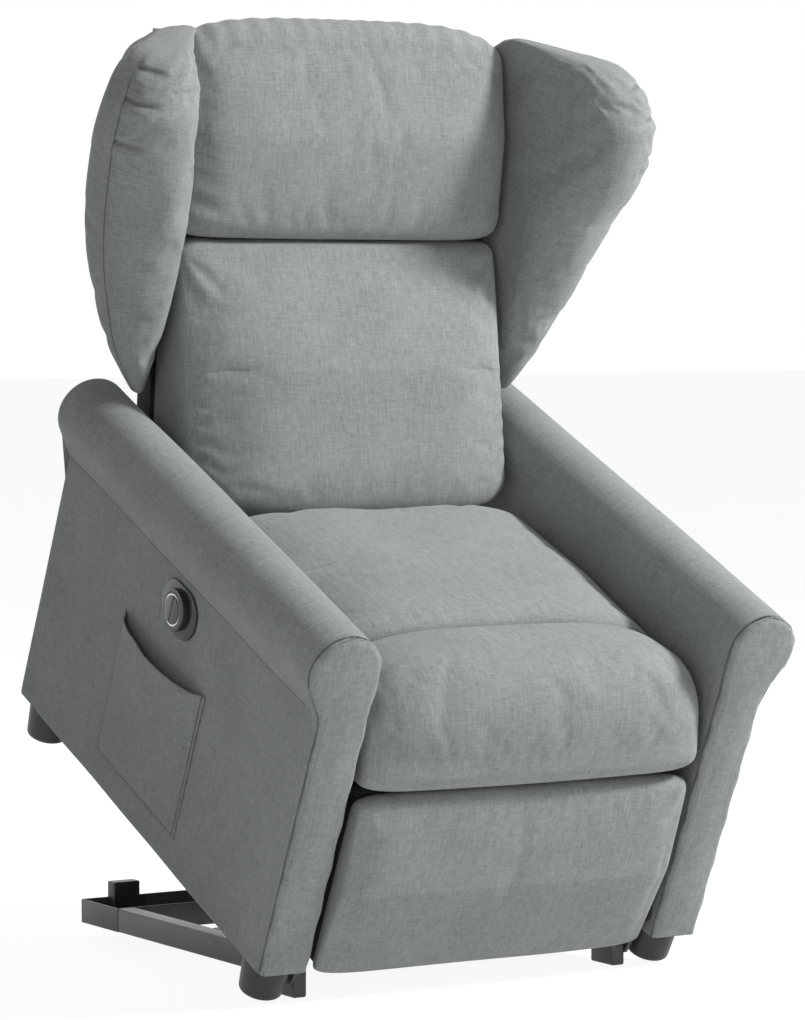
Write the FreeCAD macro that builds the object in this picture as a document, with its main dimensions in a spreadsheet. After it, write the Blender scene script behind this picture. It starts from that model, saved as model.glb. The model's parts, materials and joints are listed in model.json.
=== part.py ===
import FreeCAD, Part
import math
import os
import re

# Lift recliner chair, in millimetres, +Z up, the seat facing -Y.
# The chair is drawn level, standing on its own feet (the chair frame), and is then set
# on the front pivots of the floor base in its raised position, which is the rest pose.

V = FreeCAD.Vector
doc = FreeCAD.newDocument("lift_recliner_chair")

# Driving sizes: name, value, what it is. A value that follows from others is a formula.
SIZES = (
    ("row_shift", 0, "moves the whole object along Y, so that its footprint is centred"),
    ("lift_angle", 24.41, "tilt of the raised chair, degrees"),
    ("pivot_y", -349.1, "front lift pivot, in the room"),
    ("pivot_z", 84.1, "front lift pivot, above the floor"),
    ("low_y", -40, "where the lowered chair stands, along Y"),
    ("low_z", 3, "gap under the feet of the lowered chair"),
    ("rail_outer", 271, "outer face of the floor base, from the middle"),
    ("rail_width", 29, "floor rail width"),
    ("rail_base", 23, "floor rail underside above the floor"),
    ("rail_height", 35, "floor rail height"),
    ("rail_front", -262, "front end of the floor rails"),
    ("channel_front", 192, "front of the rear channel"),
    ("channel_back", 307.5, "back of the rear channel"),
    ("steel_wall", 3, "wall of the channel and the floor rails"),
    ("crossbar_front", -70, "front of the floor crossbar"),
    ("crossbar_depth", 30, "floor crossbar, along Y"),
    ("leg_front", -317, "front of the front legs"),
    ("leg_width", 21, "front leg, along X"),
    ("leg_height", 75, "front leg height"),
    ("ear_thickness", 6, "lift ear plate"),
    ("ear_radius", 16, "lift ear round its pin"),
    ("glide_radius", 15, "rear glide"),
    ("glide_offset", 165, "rear glide, from the middle"),
    ("stop_width", 43, "bump stop, along X"),
    ("stop_depth", 22, "bump stop, along Y"),
    ("stop_rise", 24, "bump stop above the channel rim"),
    ("stop_inset", 42, "bump stop from the outer end of the channel"),
    ("lift_pin_radius", 8, "lift pivot pin"),
    ("pin_radius", 5, "linkage pins"),
    ("pin_play", 0.08, "running clearance of a pin, on the radius"),
    ("plate_gap", 1, "gap between neighbouring link plates"),
    ("foot_height", 50, "chair foot height"),
    ("foot_top_radius", 33, "chair foot at its top"),
    ("foot_sole_radius", 30, "chair foot at the floor"),
    ("foot_front", -299, "front foot centre"),
    ("foot_back", 396, "rear foot centre"),
    ("foot_offset", 317, "foot centre, from the middle"),
    ("arm_inner", 282, "inner face of the arms"),
    ("arm_outer", 353, "outer face of the arms"),
    ("arm_front", -350, "front of the arm facing"),
    ("arm_back", 440, "rear end of the arms"),
    ("facing_thickness", 12, "arm facing board"),
    ("scroll_height", 510, "centre of the arm scroll above the feet"),
    ("scroll_offset", 332, "centre of the arm scroll, from the middle"),
    ("scroll_radius", 52.6, "arm scroll radius"),
    ("notch_drop", 71, "where the scroll meets the side panel, below the scroll's centre"),
    ("notch_height", "=scroll_height - notch_drop", "the same above the feet"),
    ("deck_height", 322, "top of the seat frame"),
    ("frame_rail_height", 42, "seat frame rail height"),
    ("frame_rail_width", 24, "seat frame rail width"),
    ("frame_front", -290, "front of the seat frame"),
    ("frame_back", 189, "back of the seat frame"),
    ("web_width", 50, "seat webbing band"),
    ("web_thickness", 3, "seat webbing thickness"),
    ("seat_half", 278, "half width of the seat cushion"),
    ("roll_half", 267, "half width of the front roll"),
    ("seat_seam", -191, "seam between the seat cushion and the front roll"),
    ("seat_depth", 168, "seat cushion thickness over the deck"),
    ("seat_top", "=deck_height + seat_depth", "top of the seat cushion at its seams"),
    ("seat_crown", 6, "crown of the seat cushion"),
    ("roll_front", -366, "front of the front roll"),
    ("seat_side_drop", 44, "how much lower the seat cushion is at the arms"),
    ("back_side_draw", 48, "how far the back cushions draw back at their sides"),
    ("head_corner_drop", 26, "how much lower the head cushion is at its corners"),
    ("seam_gap", 1.4, "gap between cushions at a seam"),
    ("mech_outer", 239, "outer face of the mechanism plates"),
    ("link_thickness", 5, "mechanism plates and links"),
    ("legrest_arm_y", -190, "legrest arm pivot"),
    ("legrest_arm_drop", 66, "legrest arm pivot below the deck"),
    ("legrest_arm_z", "=deck_height - legrest_arm_drop", "legrest arm pivot height"),
    ("legrest_arm_length", 178, "legrest arm"),
    ("legrest_arm_angle", 289.4, "legrest arm stowed, degrees from +Y"),
    ("link_spread", 60, "distance between the two arms of the parallelogram"),
    ("link_spread_angle", -35, "direction from the front to the rear arm pivot"),
    ("link_half", 10, "half width of a link"),
    ("board_pivot_y", -286, "legrest board pivot, stowed"),
    ("board_pivot_drop", 80, "legrest board pivot below the arm pivot, stowed"),
    ("board_pivot_z", "=legrest_arm_z - board_pivot_drop", "legrest board pivot height, stowed"),
    ("board_half", 264, "half width of the legrest board"),
    ("board_back", -300, "back face of the legrest panel"),
    ("board_low", 38, "lower edge of the legrest board"),
    ("panel_thickness", 18, "plywood of the legrest panel"),
    ("tube_radius", 9, "legrest drive tube"),
    ("cross_tube_radius", 12.5, "lift cross tube"),
    ("recline_y", 395, "recline pivot"),
    ("recline_rise", 68, "recline pivot above the deck"),
    ("recline_z", "=deck_height + recline_rise", "recline pivot height"),
    ("back_foot_y", 400, "rear face of the back at its lower end"),
    ("back_foot_rise", 40, "lower end of the back frame above the recline pivot"),
    ("back_foot_z", "=recline_z + back_foot_rise", "lower end of the back frame"),
    ("back_lean", 18.86, "lean of the rear face of the back, degrees"),
    ("back_frame_depth", 40, "back frame with its cover"),
    ("back_frame_length", 600, "back frame uprights"),
    ("upright_width", 31, "back frame upright"),
    ("back_half", 263.5, "half width of the back cushions"),
    ("back_seam", 0.598, "seam between the back cushions, as a share of the back frame"),
    ("lumbar_reach", 227.2, "front of the lumbar cushion before the rear face of the back"),
    ("head_reach", 147, "front of the head cushion before the rear face of the back"),
    ("cushion_edge", 20, "rounded edges of the back cushions"),
    ("cover_thickness", 3, "rear cover board"),
    ("head_y", 10, "actuator head pin on the lift cross tube"),
    ("head_z", 255, "actuator head pin height"),
    ("tail_y", 225, "actuator tail pin, in the room"),
    ("tail_z", 62, "actuator tail pin above the floor"),
    ("actuator_radius", 17, "actuator tube"),
    ("rod_radius", 9, "actuator rod"),
    ("eye_radius", 12, "actuator end eyes"),
    ("eye_width", 20, "actuator end eyes, along X"),
    ("case_start", 38, "gear case, from the tail pin"),
    ("case_end", 96, "other end of the gear case"),
    ("case_width", 52, "gear case, along X"),
    ("case_depth", 92, "gear case, across its motor"),
    ("motor_radius", 24, "motor can"),
    ("motor_length", 96, "motor can"),
    ("motor_offset", 43, "motor beside the tube"),
    ("control_box_x", 120, "control box off the middle line"),
    ("control_box_width", 120, "control box"),
    ("control_box_depth", 66, "control box, along Y"),
    ("control_box_height", 40, "control box"),
    ("inlet_radius", 9, "power inlet at the back of the control box"),
    ("tube_stop", 42, "end of the actuator tube before the lowered head pin"),
    ("pocket_front", -62, "side pocket front edge"),
    ("pocket_back", 190, "side pocket rear edge"),
    ("pocket_low", 96, "side pocket bottom"),
    ("pocket_high", 321, "side pocket mouth"),
    ("pocket_foot", 8, "side pocket at its bottom, out from the arm"),
    ("pocket_wall", 3, "side pocket cloth and board"),
    ("pocket_mouth", 20, "how far the pocket stands open"),
    ("bezel_y", 49, "control panel centre along the arm"),
    ("bezel_height", 72, "control panel height"),
    ("bezel_gap", 7, "between the control panel and the scroll"),
    ("bezel_z", "=notch_height - bezel_gap - bezel_height / 2", "control panel centre height"),
    ("bezel_length", 100, "control panel, along Y"),
    ("bezel_thickness", 4, "control panel plate"),
    ("boss_radius", 30, "round control boss"),
    ("boss_height", 9, "control boss above its plate"),
    ("ring_width", 2, "bright ring round the buttons"),
    ("button_radius", 20, "button pair"),
    ("button_split", 1.6, "gap between the two buttons"),
    ("button_travel", 1.5, "how far a button is pressed"),
)

sheet = doc.addObject("Spreadsheet::Sheet", "sizes")
for row, (name, value, note) in enumerate(SIZES, start=1):
    sheet.set(f"A{row}", name)
    sheet.set(f"B{row}", str(value))
    sheet.set(f"C{row}", note)
    sheet.setAlias(f"B{row}", name)
doc.recompute()
SIZE = {name: float(sheet.get(name)) for name, value, note in SIZES}

NODES = {}


def formula(text):
    """Point each size name of a formula at its cell in the sheet."""
    return re.sub(r"[a-z]\w*", lambda word: ("sizes." if word.group() in SIZE else "") + word.group(), text)


def bind(thing, **properties):
    """Bind properties to formulas; a double underscore stands for a dot."""
    for name, text in properties.items():
        thing.setExpression(name.replace("__", "."), formula(text))


def side_span(side, inner, outer):
    """The two X limits of a piece on the right (1) or left (-1) side, low one first."""
    if side > 0:
        return inner, outer
    return f"-({outer})", f"-({inner})"


def block(name, x, y, z):
    """A box between pairs of limits, each a formula."""
    box = doc.addObject("Part::Box", name)
    bind(box, Length=f"{x[1]} - ({x[0]})", Width=f"{y[1]} - ({y[0]})", Height=f"{z[1]} - ({z[0]})")
    bind(box, Placement__Base__x=x[0], Placement__Base__y=y[0], Placement__Base__z=z[0])
    return box


def round_bar(name, radius, axis, low, high, first, second):
    """A cylinder along an axis from low to high; first and second are its other two coordinates."""
    bar = doc.addObject("Part::Cylinder", name)
    bind(bar, Radius=radius, Height=f"{high} - ({low})")
    if axis == "x":
        bar.Placement.Rotation = FreeCAD.Rotation(V(0, 1, 0), 90)
        bind(bar, Placement__Base__x=low, Placement__Base__y=first, Placement__Base__z=second)
    elif axis == "y":
        bar.Placement.Rotation = FreeCAD.Rotation(V(1, 0, 0), -90)
        bind(bar, Placement__Base__x=first, Placement__Base__y=low, Placement__Base__z=second)
    else:
        bind(bar, Placement__Base__x=first, Placement__Base__y=second, Placement__Base__z=low)
    return bar


def cut(name, base, *tools):
    """The base with each tool taken out of it."""
    for number, tool in enumerate(tools, start=1):
        result = doc.addObject("Part::Cut", f"{name}_cut_{number}")
        result.Base = base
        result.Tool = tool
        base = result
    return base


def fuse(name, *parts):
    """Several touching forms as one solid."""
    result = doc.addObject("Part::MultiFuse", name)
    result.Shapes = list(parts)
    result.Refine = True
    return result


def belt_turns(discs):
    """Where a belt run tight round discs (a, b, radius), given counter-clockwise, touches each of them.

    Each disc comes back as (a, b, radius, start, end), the last two the angles that the belt turns between.
    """
    count = len(discs)
    normals = []
    for index in range(count):
        a, b, radius = discs[index]
        next_a, next_b, next_radius = discs[(index + 1) % count]
        run = math.hypot(next_a - a, next_b - b)
        along_a = (next_a - a) / run
        along_b = (next_b - b) / run
        share = (radius - next_radius) / run
        square = math.sqrt(1 - share * share)
        normals.append((share * along_a + square * along_b, share * along_b - square * along_a))
    turns = []
    for index in range(count):
        start = math.atan2(normals[index - 1][1], normals[index - 1][0])
        end = math.atan2(normals[index][1], normals[index][0])
        if end < start:
            end += 2 * math.pi
        turns.append((*discs[index], start, end))
    return turns


def arc_points(turn, steps):
    """The points of a belt on one disc, at even angles."""
    a, b, radius, start, end = turn
    angles = [start + (end - start) * step / steps for step in range(steps + 1)]
    return [(a + radius * math.cos(angle), b + radius * math.sin(angle)) for angle in angles]


def belt(discs):
    """The outline of the belt as straight pieces and arcs of under half a circle."""
    pieces = []
    runs = [arc_points(turn, 4) for turn in belt_turns(discs)]
    for index, points in enumerate(runs):
        pieces.append(("arc", points[0], points[1], points[2]))
        pieces.append(("arc", points[2], points[3], points[4]))
        pieces.append(("line", points[4], runs[(index + 1) % len(runs)][0]))
    return pieces


def soft_wire(discs, steps, place):
    """The belt as a closed wire of straight runs, steps of them on each disc's arc."""
    points = []
    for turn, count in zip(belt_turns(discs), steps):
        points += [place(a, b) for a, b in arc_points(turn, count)]
    return Part.makePolygon(points + points[:1])


def outline_edges(pieces, place):
    """Edges of an outline; place turns its two coordinates into a point in space."""
    edges = []
    for piece in pieces:
        points = [place(*point) for point in piece[1:]]
        if piece[0] == "line":
            edges.append(Part.LineSegment(*points))
        else:
            edges.append(Part.Arc(*points))
    return edges


def plate(name, plane, low, thickness, outline, holes=()):
    """A plate as a padded sketch on YZ (pad along +X) or XZ (pad along +Y from low)."""
    body = doc.addObject("PartDesign::Body", name + "_body")
    sketch = body.newObject("Sketcher::SketchObject", name + "_sketch")
    role = {"yz": "YZ_Plane", "xz": "XZ_Plane"}[plane]
    origin = [feature for feature in body.Origin.OriginFeatures if feature.Role == role][0]
    sketch.AttachmentSupport = [(origin, "")]
    sketch.MapMode = "FlatFace"
    sketch.addGeometry(outline_edges(outline, lambda a, b: V(a, b, 0)), False)
    for a, b, radius in holes:
        sketch.addGeometry(Part.Circle(V(a, b, 0), V(0, 0, 1), radius), False)
    if plane == "yz":
        bind(sketch, AttachmentOffset__Base__z=low)
    else:
        bind(sketch, AttachmentOffset__Base__z=f"-({low}) - ({thickness})")
    pad = body.newObject("PartDesign::Pad", name + "_pad")
    pad.Profile = sketch
    bind(pad, Length=thickness)
    sketch.Visibility = False
    body.Tip = pad
    return body


def loft_form(name, wires):
    """A closed soft form through several outlines."""
    form = doc.addObject("Part::Feature", name + "_form")
    form.Shape = Part.makeLoft(wires, True, True)
    return form


def pillow(name, discs, half_width, draw):
    """A crowned cushion, its side outline a belt round discs (y, z, radius, end_y, end_z).

    Towards both ends the outline draws in by draw, and each disc moves by its end_y and end_z.
    """
    shares = (0, 0.35, 0.6, 0.78, 0.9, 0.97, 1)
    wires = []
    for share in [-share for share in shares[:0:-1]] + list(shares):
        x = share * half_width
        moved = share ** 4
        inset = draw * (1 - math.sqrt(1 - 0.96 * share ** 12))
        smaller = [(y + moved * end_y, z + moved * end_z, radius - inset) for y, z, radius, end_y, end_z in discs]
        wires.append(soft_wire(smaller, (ARC_STEPS,) * len(discs), lambda y, z: V(x, y, z)))
    return loft_form(name, wires)


def node(name, pieces, raised=True):
    """One named sub-part of separate solids, raised with the chair or standing on the floor."""
    group = doc.addObject("Part::Compound", name)
    group.Label = name
    group.Links = pieces
    group.Placement.Rotation = FreeCAD.Rotation(V(1, 0, 0), SIZE["lift_angle"] if raised else 0)
    if raised:
        arm = "(pivot_y - low_y)"
        rise = "(pivot_z - low_z)"
        turned_y = f"{arm} * cos(lift_angle) - {rise} * sin(lift_angle)"
        bind(group, Placement__Base__y=f"row_shift + pivot_y - ({turned_y})")
        bind(group, Placement__Base__z=f"pivot_z - {arm} * sin(lift_angle) - {rise} * cos(lift_angle)")
        bind(group, Placement__Rotation__Angle="lift_angle")
    else:
        bind(group, Placement__Base__y="row_shift")
    NODES[name] = group


def polar(y, z, length, degrees):
    """A point at a distance and direction from another, the angle measured from +Y towards +Z."""
    turn = math.radians(degrees)
    return y + length * math.cos(turn), z + length * math.sin(turn)


def raise_point(y, z, share=1.0):
    """Where a point of the level chair stands in the room at a share of the lift."""
    turn = math.radians(SIZE["lift_angle"] * share)
    arm_y = y - (SIZE["pivot_y"] - SIZE["low_y"])
    arm_z = z - (SIZE["pivot_z"] - SIZE["low_z"])
    return (SIZE["pivot_y"] + arm_y * math.cos(turn) - arm_z * math.sin(turn),
            SIZE["pivot_z"] + arm_y * math.sin(turn) + arm_z * math.cos(turn))


def level_point(y, z, share=1.0):
    """Where a point of the room lies in the level chair's frame at a share of the lift."""
    turn = math.radians(SIZE["lift_angle"] * share)
    arm_y = y - SIZE["pivot_y"]
    arm_z = z - SIZE["pivot_z"]
    return (SIZE["pivot_y"] - SIZE["low_y"] + arm_y * math.cos(turn) + arm_z * math.sin(turn),
            SIZE["pivot_z"] - SIZE["low_z"] - arm_y * math.sin(turn) + arm_z * math.cos(turn))


def back_point(up, forward):
    """A point of the back, from the lower end of its rear face: up along it and forward of it."""
    lean = math.radians(SIZE["back_lean"])
    return (SIZE["back_foot_y"] + up * math.sin(lean) - forward * math.cos(lean),
            SIZE["back_foot_z"] + up * math.cos(lean) + forward * math.sin(lean))


SIDES = (("left", 1), ("right", -1))
RAIL_TOP = "(rail_base + rail_height)"
DECK_LOW = "(deck_height - frame_rail_height)"
PIN_HOLE = SIZE["pin_radius"] + SIZE["pin_play"]
ARC_STEPS = 5


# Floor base: rails, rear channel, crossbar, legs, lift ears, glides and stops.
def floor_base():
    for label, side in SIDES:
        name = f"base_rail_{label}"
        skin = block(f"{name}_skin", side_span(side, "rail_outer - rail_width", "rail_outer"),
                     ("rail_front", "channel_front"), ("rail_base", RAIL_TOP))
        hollow = block(f"{name}_hollow",
                       side_span(side, "rail_outer - rail_width + steel_wall", "rail_outer - steel_wall"),
                       ("rail_front + steel_wall", "channel_front - steel_wall"),
                       ("rail_base + steel_wall", f"{RAIL_TOP} - steel_wall"))
        node(name, [cut(name, skin, hollow)], raised=False)

    tray = block("channel_tray", ("-rail_outer", "rail_outer"), ("channel_front", "channel_back"),
                 ("rail_base", RAIL_TOP))
    trough = block("channel_trough", ("steel_wall - rail_outer", "rail_outer - steel_wall"),
                   ("channel_front + steel_wall", "channel_back - steel_wall"),
                   ("rail_base + steel_wall", f"{RAIL_TOP} + 1"))
    node("base_rear_channel", [cut("base_rear_channel", tray, trough)], raised=False)

    span = ("rail_width - rail_outer", "rail_outer - rail_width")
    bar = block("crossbar_skin", span, ("crossbar_front", "crossbar_front + crossbar_depth"), ("rail_base", RAIL_TOP))
    bore = block("crossbar_bore", span,
                 ("crossbar_front + steel_wall", "crossbar_front + crossbar_depth - steel_wall"),
                 ("rail_base + steel_wall", f"{RAIL_TOP} - steel_wall"))
    node("base_crossbar", [cut("base_crossbar", bar, bore)], raised=False)

    pivot = (SIZE["pivot_y"], SIZE["pivot_z"])
    for label, side in SIDES:
        leg = block(f"leg_{label}", side_span(side, "rail_outer - leg_width", "rail_outer"),
                    ("leg_front", "rail_front"), ("0", "leg_height"))
        node(f"front_leg_{label}", [leg], raised=False)
        toe = 17 + 4
        discs = ((SIZE["leg_front"] + 4, toe, 4), (SIZE["rail_front"] - 4, toe, 4),
                 (SIZE["rail_front"] - 4, SIZE["leg_height"] - 4, 4), (*pivot, SIZE["ear_radius"]))
        low = side_span(side, "rail_outer", "rail_outer + ear_thickness")[0]
        hole = SIZE["lift_pin_radius"] + SIZE["pin_play"]
        ear = plate(f"ear_{label}", "yz", low, "ear_thickness", belt(discs), [(*pivot, hole)])
        node(f"lift_ear_{label}", [ear], raised=False)

    glides = []
    stops = []
    for label, side in SIDES:
        glides.append(round_bar(f"glide_{label}", "glide_radius", "z", "0", "rail_base", f"{side} * glide_offset",
                                "(channel_front + channel_back) / 2"))
        outer = "rail_outer - stop_inset"
        stops.append(block(f"stop_{label}", side_span(side, f"{outer} - stop_width", outer),
                           ("channel_back - steel_wall - stop_depth", "channel_back - steel_wall"),
                           ("rail_base + steel_wall", f"{RAIL_TOP} + stop_rise")))
    node("rear_glides", glides, raised=False)
    node("bump_stops", stops, raised=False)


# Lift actuator: a slim gear case and motor on a tail pin, and a rod that pushes the cross tube.
def lift_actuator():
    tail = (SIZE["tail_y"], SIZE["tail_z"])
    head = raise_point(SIZE["head_y"], SIZE["head_z"])
    reach = math.hypot(head[0] - tail[0], head[1] - tail[1])
    slope = math.degrees(math.atan2(head[1] - tail[1], head[0] - tail[0]))
    low_head = raise_point(SIZE["head_y"], SIZE["head_z"], 0)
    short = math.hypot(low_head[0] - tail[0], low_head[1] - tail[1])
    low_slope = math.degrees(math.atan2(low_head[1] - tail[1], low_head[0] - tail[0]))
    print("actuator", round(reach, 3), round(short, 3), round(slope, 3), round(low_slope, 3))

    eye_half = SIZE["eye_width"] / 2
    ears = []
    for label, side in SIDES:
        low = side_span(side, f"{eye_half} + plate_gap", f"{eye_half} + plate_gap + link_thickness")[0]
        foot_z = SIZE["rail_base"] + SIZE["steel_wall"] + 3
        discs = ((tail[0] - 22, foot_z, 3), (tail[0] + 22, foot_z, 3), (*tail, 13))
        ears.append(plate(f"tail_ear_{label}", "yz", low, "link_thickness", belt(discs),
                          [(*tail, SIZE["pin_radius"])]))
    node("actuator_tail_bracket", ears, raised=False)
    half = f"({eye_half} + plate_gap + link_thickness + 2)"
    pin = round_bar("tail_pin", "pin_radius", "x", f"-{half}", half, "tail_y", "tail_z")
    node("actuator_tail_pin", [pin], raised=False)

    def on_axis(thing, start=0, side=0, forward=0):
        """Set a form drawn along +Z on the actuator's axis, start millimetres from the tail pin."""
        turn = FreeCAD.Rotation(V(1, 0, 0), slope - 90)
        thing.Placement = FreeCAD.Placement(V(0, *tail), turn) * FreeCAD.Placement(V(side, forward, start),
                                                                                 FreeCAD.Rotation())
        return thing

    case_start = SIZE["case_start"]
    case_end = SIZE["case_end"]
    tube_end = short - SIZE["tube_stop"]
    eye = doc.addObject("Part::Cylinder", "tail_eye")
    bind(eye, Radius="eye_radius")
    eye.Height = 2 * eye_half
    eye.Placement = FreeCAD.Placement(V(-eye_half, *tail), FreeCAD.Rotation(V(0, 1, 0), 90))
    neck = doc.addObject("Part::Box", "tail_neck")
    neck.Length, neck.Width, neck.Height = 2 * eye_half, 18, case_start
    on_axis(neck, 0, -eye_half, -9)
    case = doc.addObject("Part::Box", "gear_case")
    bind(case, Length="case_width", Width="case_depth", Height="case_end - case_start")
    case_front = SIZE["motor_offset"] + SIZE["motor_radius"] + 3
    on_axis(case, case_start, -SIZE["case_width"] / 2, case_front - SIZE["case_depth"])
    tube = doc.addObject("Part::Cylinder", "actuator_tube")
    bind(tube, Radius="actuator_radius")
    tube.Height = tube_end - case_end
    on_axis(tube, case_end)
    bore = doc.addObject("Part::Cylinder", "actuator_bore")
    bind(bore, Radius="rod_radius + pin_play")
    bore.Height = tube_end - case_end
    on_axis(bore, case_end)
    hole = doc.addObject("Part::Cylinder", "tail_hole")
    hole.Radius = PIN_HOLE
    hole.Height = 2 * eye_half + 2
    hole.Placement = FreeCAD.Placement(V(-eye_half - 1, *tail), FreeCAD.Rotation(V(0, 1, 0), 90))
    shell = fuse("actuator_shell", eye, neck, case, tube)
    node("actuator_housing", [cut("actuator_housing", shell, bore, hole)], raised=False)

    motor = doc.addObject("Part::Cylinder", "motor_can")
    bind(motor, Radius="motor_radius", Height="motor_length")
    on_axis(motor, case_end, 0, SIZE["motor_offset"])
    node("actuator_motor", [motor], raised=False)

    rod = doc.addObject("Part::Cylinder", "rod_shaft")
    bind(rod, Radius="rod_radius")
    stroke = reach - short
    rod.Height = reach - (case_end + stroke + 4)
    on_axis(rod, case_end + stroke + 4)
    rod_eye = doc.addObject("Part::Cylinder", "rod_eye")
    bind(rod_eye, Radius="eye_radius")
    rod_eye.Height = 2 * eye_half
    rod_eye.Placement = FreeCAD.Placement(V(-eye_half, *head), FreeCAD.Rotation(V(0, 1, 0), 90))
    head_hole = doc.addObject("Part::Cylinder", "rod_eye_hole")
    bind(head_hole, Radius="pin_radius")
    head_hole.Height = 2 * eye_half + 2
    head_hole.Placement = FreeCAD.Placement(V(-eye_half - 1, *head), FreeCAD.Rotation(V(0, 1, 0), 90))
    node("actuator_rod", [cut("actuator_rod", fuse("rod_with_eye", rod, rod_eye), head_hole)], raised=False)
    head_pin = doc.addObject("Part::Cylinder", "head_pin")
    bind(head_pin, Radius="pin_radius", Height=f"2 * {half}")
    head_pin.Placement = FreeCAD.Placement(V(0, *head), FreeCAD.Rotation(V(0, 1, 0), 90))
    bind(head_pin, Placement__Base__x=f"-{half}")
    node("actuator_head_pin", [head_pin], raised=False)

    # The head pin slides in a slot of the cross tube's ears, so that the rod only pushes.
    track = []
    for step in range(9):
        share = step / 8
        length = short + (reach - short) * share
        turn = math.radians(low_slope + (slope - low_slope) * share)
        at = (tail[0] + length * math.cos(turn), tail[1] + length * math.sin(turn))
        track.append(level_point(*at, share))
    middle = max(track, key=lambda point: math.hypot(point[0] - track[-1][0], point[1] - track[-1][1]))
    slot_radius = SIZE["pin_radius"] + 1.2
    slot = belt(((*track[-1], slot_radius), (*middle, slot_radius)))
    print("head pin travels in its slot", [(round(y, 1), round(z, 1)) for y, z in (track[-1], middle)])
    tube_at = polar(SIZE["head_y"], SIZE["head_z"], 42, 8)
    ears = []
    for label, side in SIDES:
        low = side_span(side, f"{eye_half} + plate_gap", f"{eye_half} + plate_gap + link_thickness")[0]
        rim = slot_radius + 8
        ends = sorted((track[-1], middle))
        outline = belt(((*ends[0], rim), (*tube_at, SIZE["cross_tube_radius"] + 4), (*ends[1], rim)))
        ear = plate(f"head_ear_{label}", "yz", low, "link_thickness", outline)
        cutter = plate(f"head_slot_{label}", "yz", f"{low} - 1", "link_thickness + 2", slot)
        ears.append(cut(f"head_ear_{label}", ear, cutter))
    inside = "(mech_outer - link_thickness)"
    tube = round_bar("lift_tube", "cross_tube_radius", "x", f"-{inside}", inside,
                     str(tube_at[0]), str(tube_at[1]))
    node("lift_cross_tube", [fuse("lift_cross_tube_solid", tube, *ears)])


# Lift pivots on the arms.
def lift_pivots():
    pivot = (SIZE["pivot_y"] - SIZE["low_y"], SIZE["pivot_z"] - SIZE["low_z"])
    plates = []
    pins = []
    for label, side in SIDES:
        low = side_span(side, "arm_inner - ear_thickness + 1.5", "arm_inner")[0]
        discs = ((*pivot, 20), (pivot[0] + 110, pivot[1] - 8, 12), (pivot[0] + 110, pivot[1] + 42, 12))
        plates.append(plate(f"pivot_plate_{label}", "yz", low, "ear_thickness - 1.5", belt(discs)))
        ends = side_span(side, "rail_outer - 2.5", "arm_inner - ear_thickness + 1.5")
        pins.append(round_bar(f"lift_pin_{label}", "lift_pin_radius", "x", *ends,
                              str(pivot[0]), str(pivot[1])))
    node("lift_pivot_plates", plates)
    node("lift_pivot_pins", pins)


# Seat frame and mechanism plates.
def seat_frame():
    height = (DECK_LOW, "deck_height")
    rail_in = "arm_inner - frame_rail_width"
    rails = []
    for label, side in SIDES:
        rails.append(block(f"frame_side_{label}", side_span(side, rail_in, "arm_inner"),
                           ("frame_front", "frame_back"), height))
    inner = (f"-({rail_in})", rail_in)
    rails.append(block("frame_front_rail", inner, ("frame_front", "frame_front + frame_rail_width"), height))
    rails.append(block("frame_back_rail", inner, ("frame_back - frame_rail_width", "frame_back"), height))
    node("seat_frame", rails)

    bands = []
    for number in range(5):
        middle = f"{number - 2} * 2 * web_width"
        bands.append(block(f"web_{number + 1}", (f"{middle} - web_width / 2", f"{middle} + web_width / 2"),
                           ("frame_front", "frame_back"), ("deck_height", "deck_height + web_thickness")))
    node("seat_webbing", bands)

    sides = ("control_box_x - control_box_width / 2", "control_box_x + control_box_width / 2")
    box = block("control_case", sides, ("frame_back - 4 - control_box_depth", "frame_back - 4"),
                (f"{DECK_LOW} - control_box_height", DECK_LOW))
    node("control_box", [box])
    middle = ("control_box_x", f"{DECK_LOW} - control_box_height / 2")
    inlet = round_bar("inlet", "inlet_radius", "y", "frame_back - 4", "frame_back + 8", *middle)
    socket = round_bar("inlet_bore", "inlet_radius - 4", "y", "frame_back + 1", "frame_back + 9", *middle)
    node("power_inlet", [cut("power_inlet", inlet, socket)])

    front = (SIZE["legrest_arm_y"], SIZE["legrest_arm_z"])
    rear = polar(*front, SIZE["link_spread"], SIZE["link_spread_angle"])
    hinge = (SIZE["recline_y"], SIZE["recline_z"])
    under = SIZE["deck_height"] - SIZE["frame_rail_height"]
    tail = (SIZE["frame_back"] - 4, under - 18)
    elbow = (SIZE["frame_back"] + 16, under - 22)
    main = belt(((*rear, 16), (*tail, 18), (front[0], under - 24, 24)))
    reach = belt(((*tail, 14), (*elbow, 14), (*hinge, 20), (elbow[0] - 6, elbow[1] + 2, 12)))
    for label, side in SIDES:
        low = side_span(side, "mech_outer - link_thickness", "mech_outer")[0]
        tube_hole = [(*front, SIZE["tube_radius"] + SIZE["pin_play"]), (*rear, SIZE["pin_radius"])]
        forward = plate(f"plate_main_{label}", "yz", low, "link_thickness", main, tube_hole)
        backward = plate(f"plate_reach_{label}", "yz", low, "link_thickness", reach,
                         [(*hinge, SIZE["lift_pin_radius"])])
        node(f"mechanism_plate_{label}", [fuse(f"mechanism_plate_{label}_solid", forward, backward)])

    pins = []
    bolts = []
    for label, side in SIDES:
        ends = side_span(side, "mech_outer - 3 * link_thickness", "mech_outer")
        pins.append(round_bar(f"recline_pin_{label}", "lift_pin_radius", "x", *ends,
                              "recline_y", "recline_z"))
        ends = side_span(side, "mech_outer - 2 * link_thickness - plate_gap - 1", "mech_outer")
        bolts.append(round_bar(f"rear_arm_pin_{label}", "pin_radius", "x", *ends, str(rear[0]), str(rear[1])))
    node("recline_pins", pins)
    node("rear_arm_pins", bolts)


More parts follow.
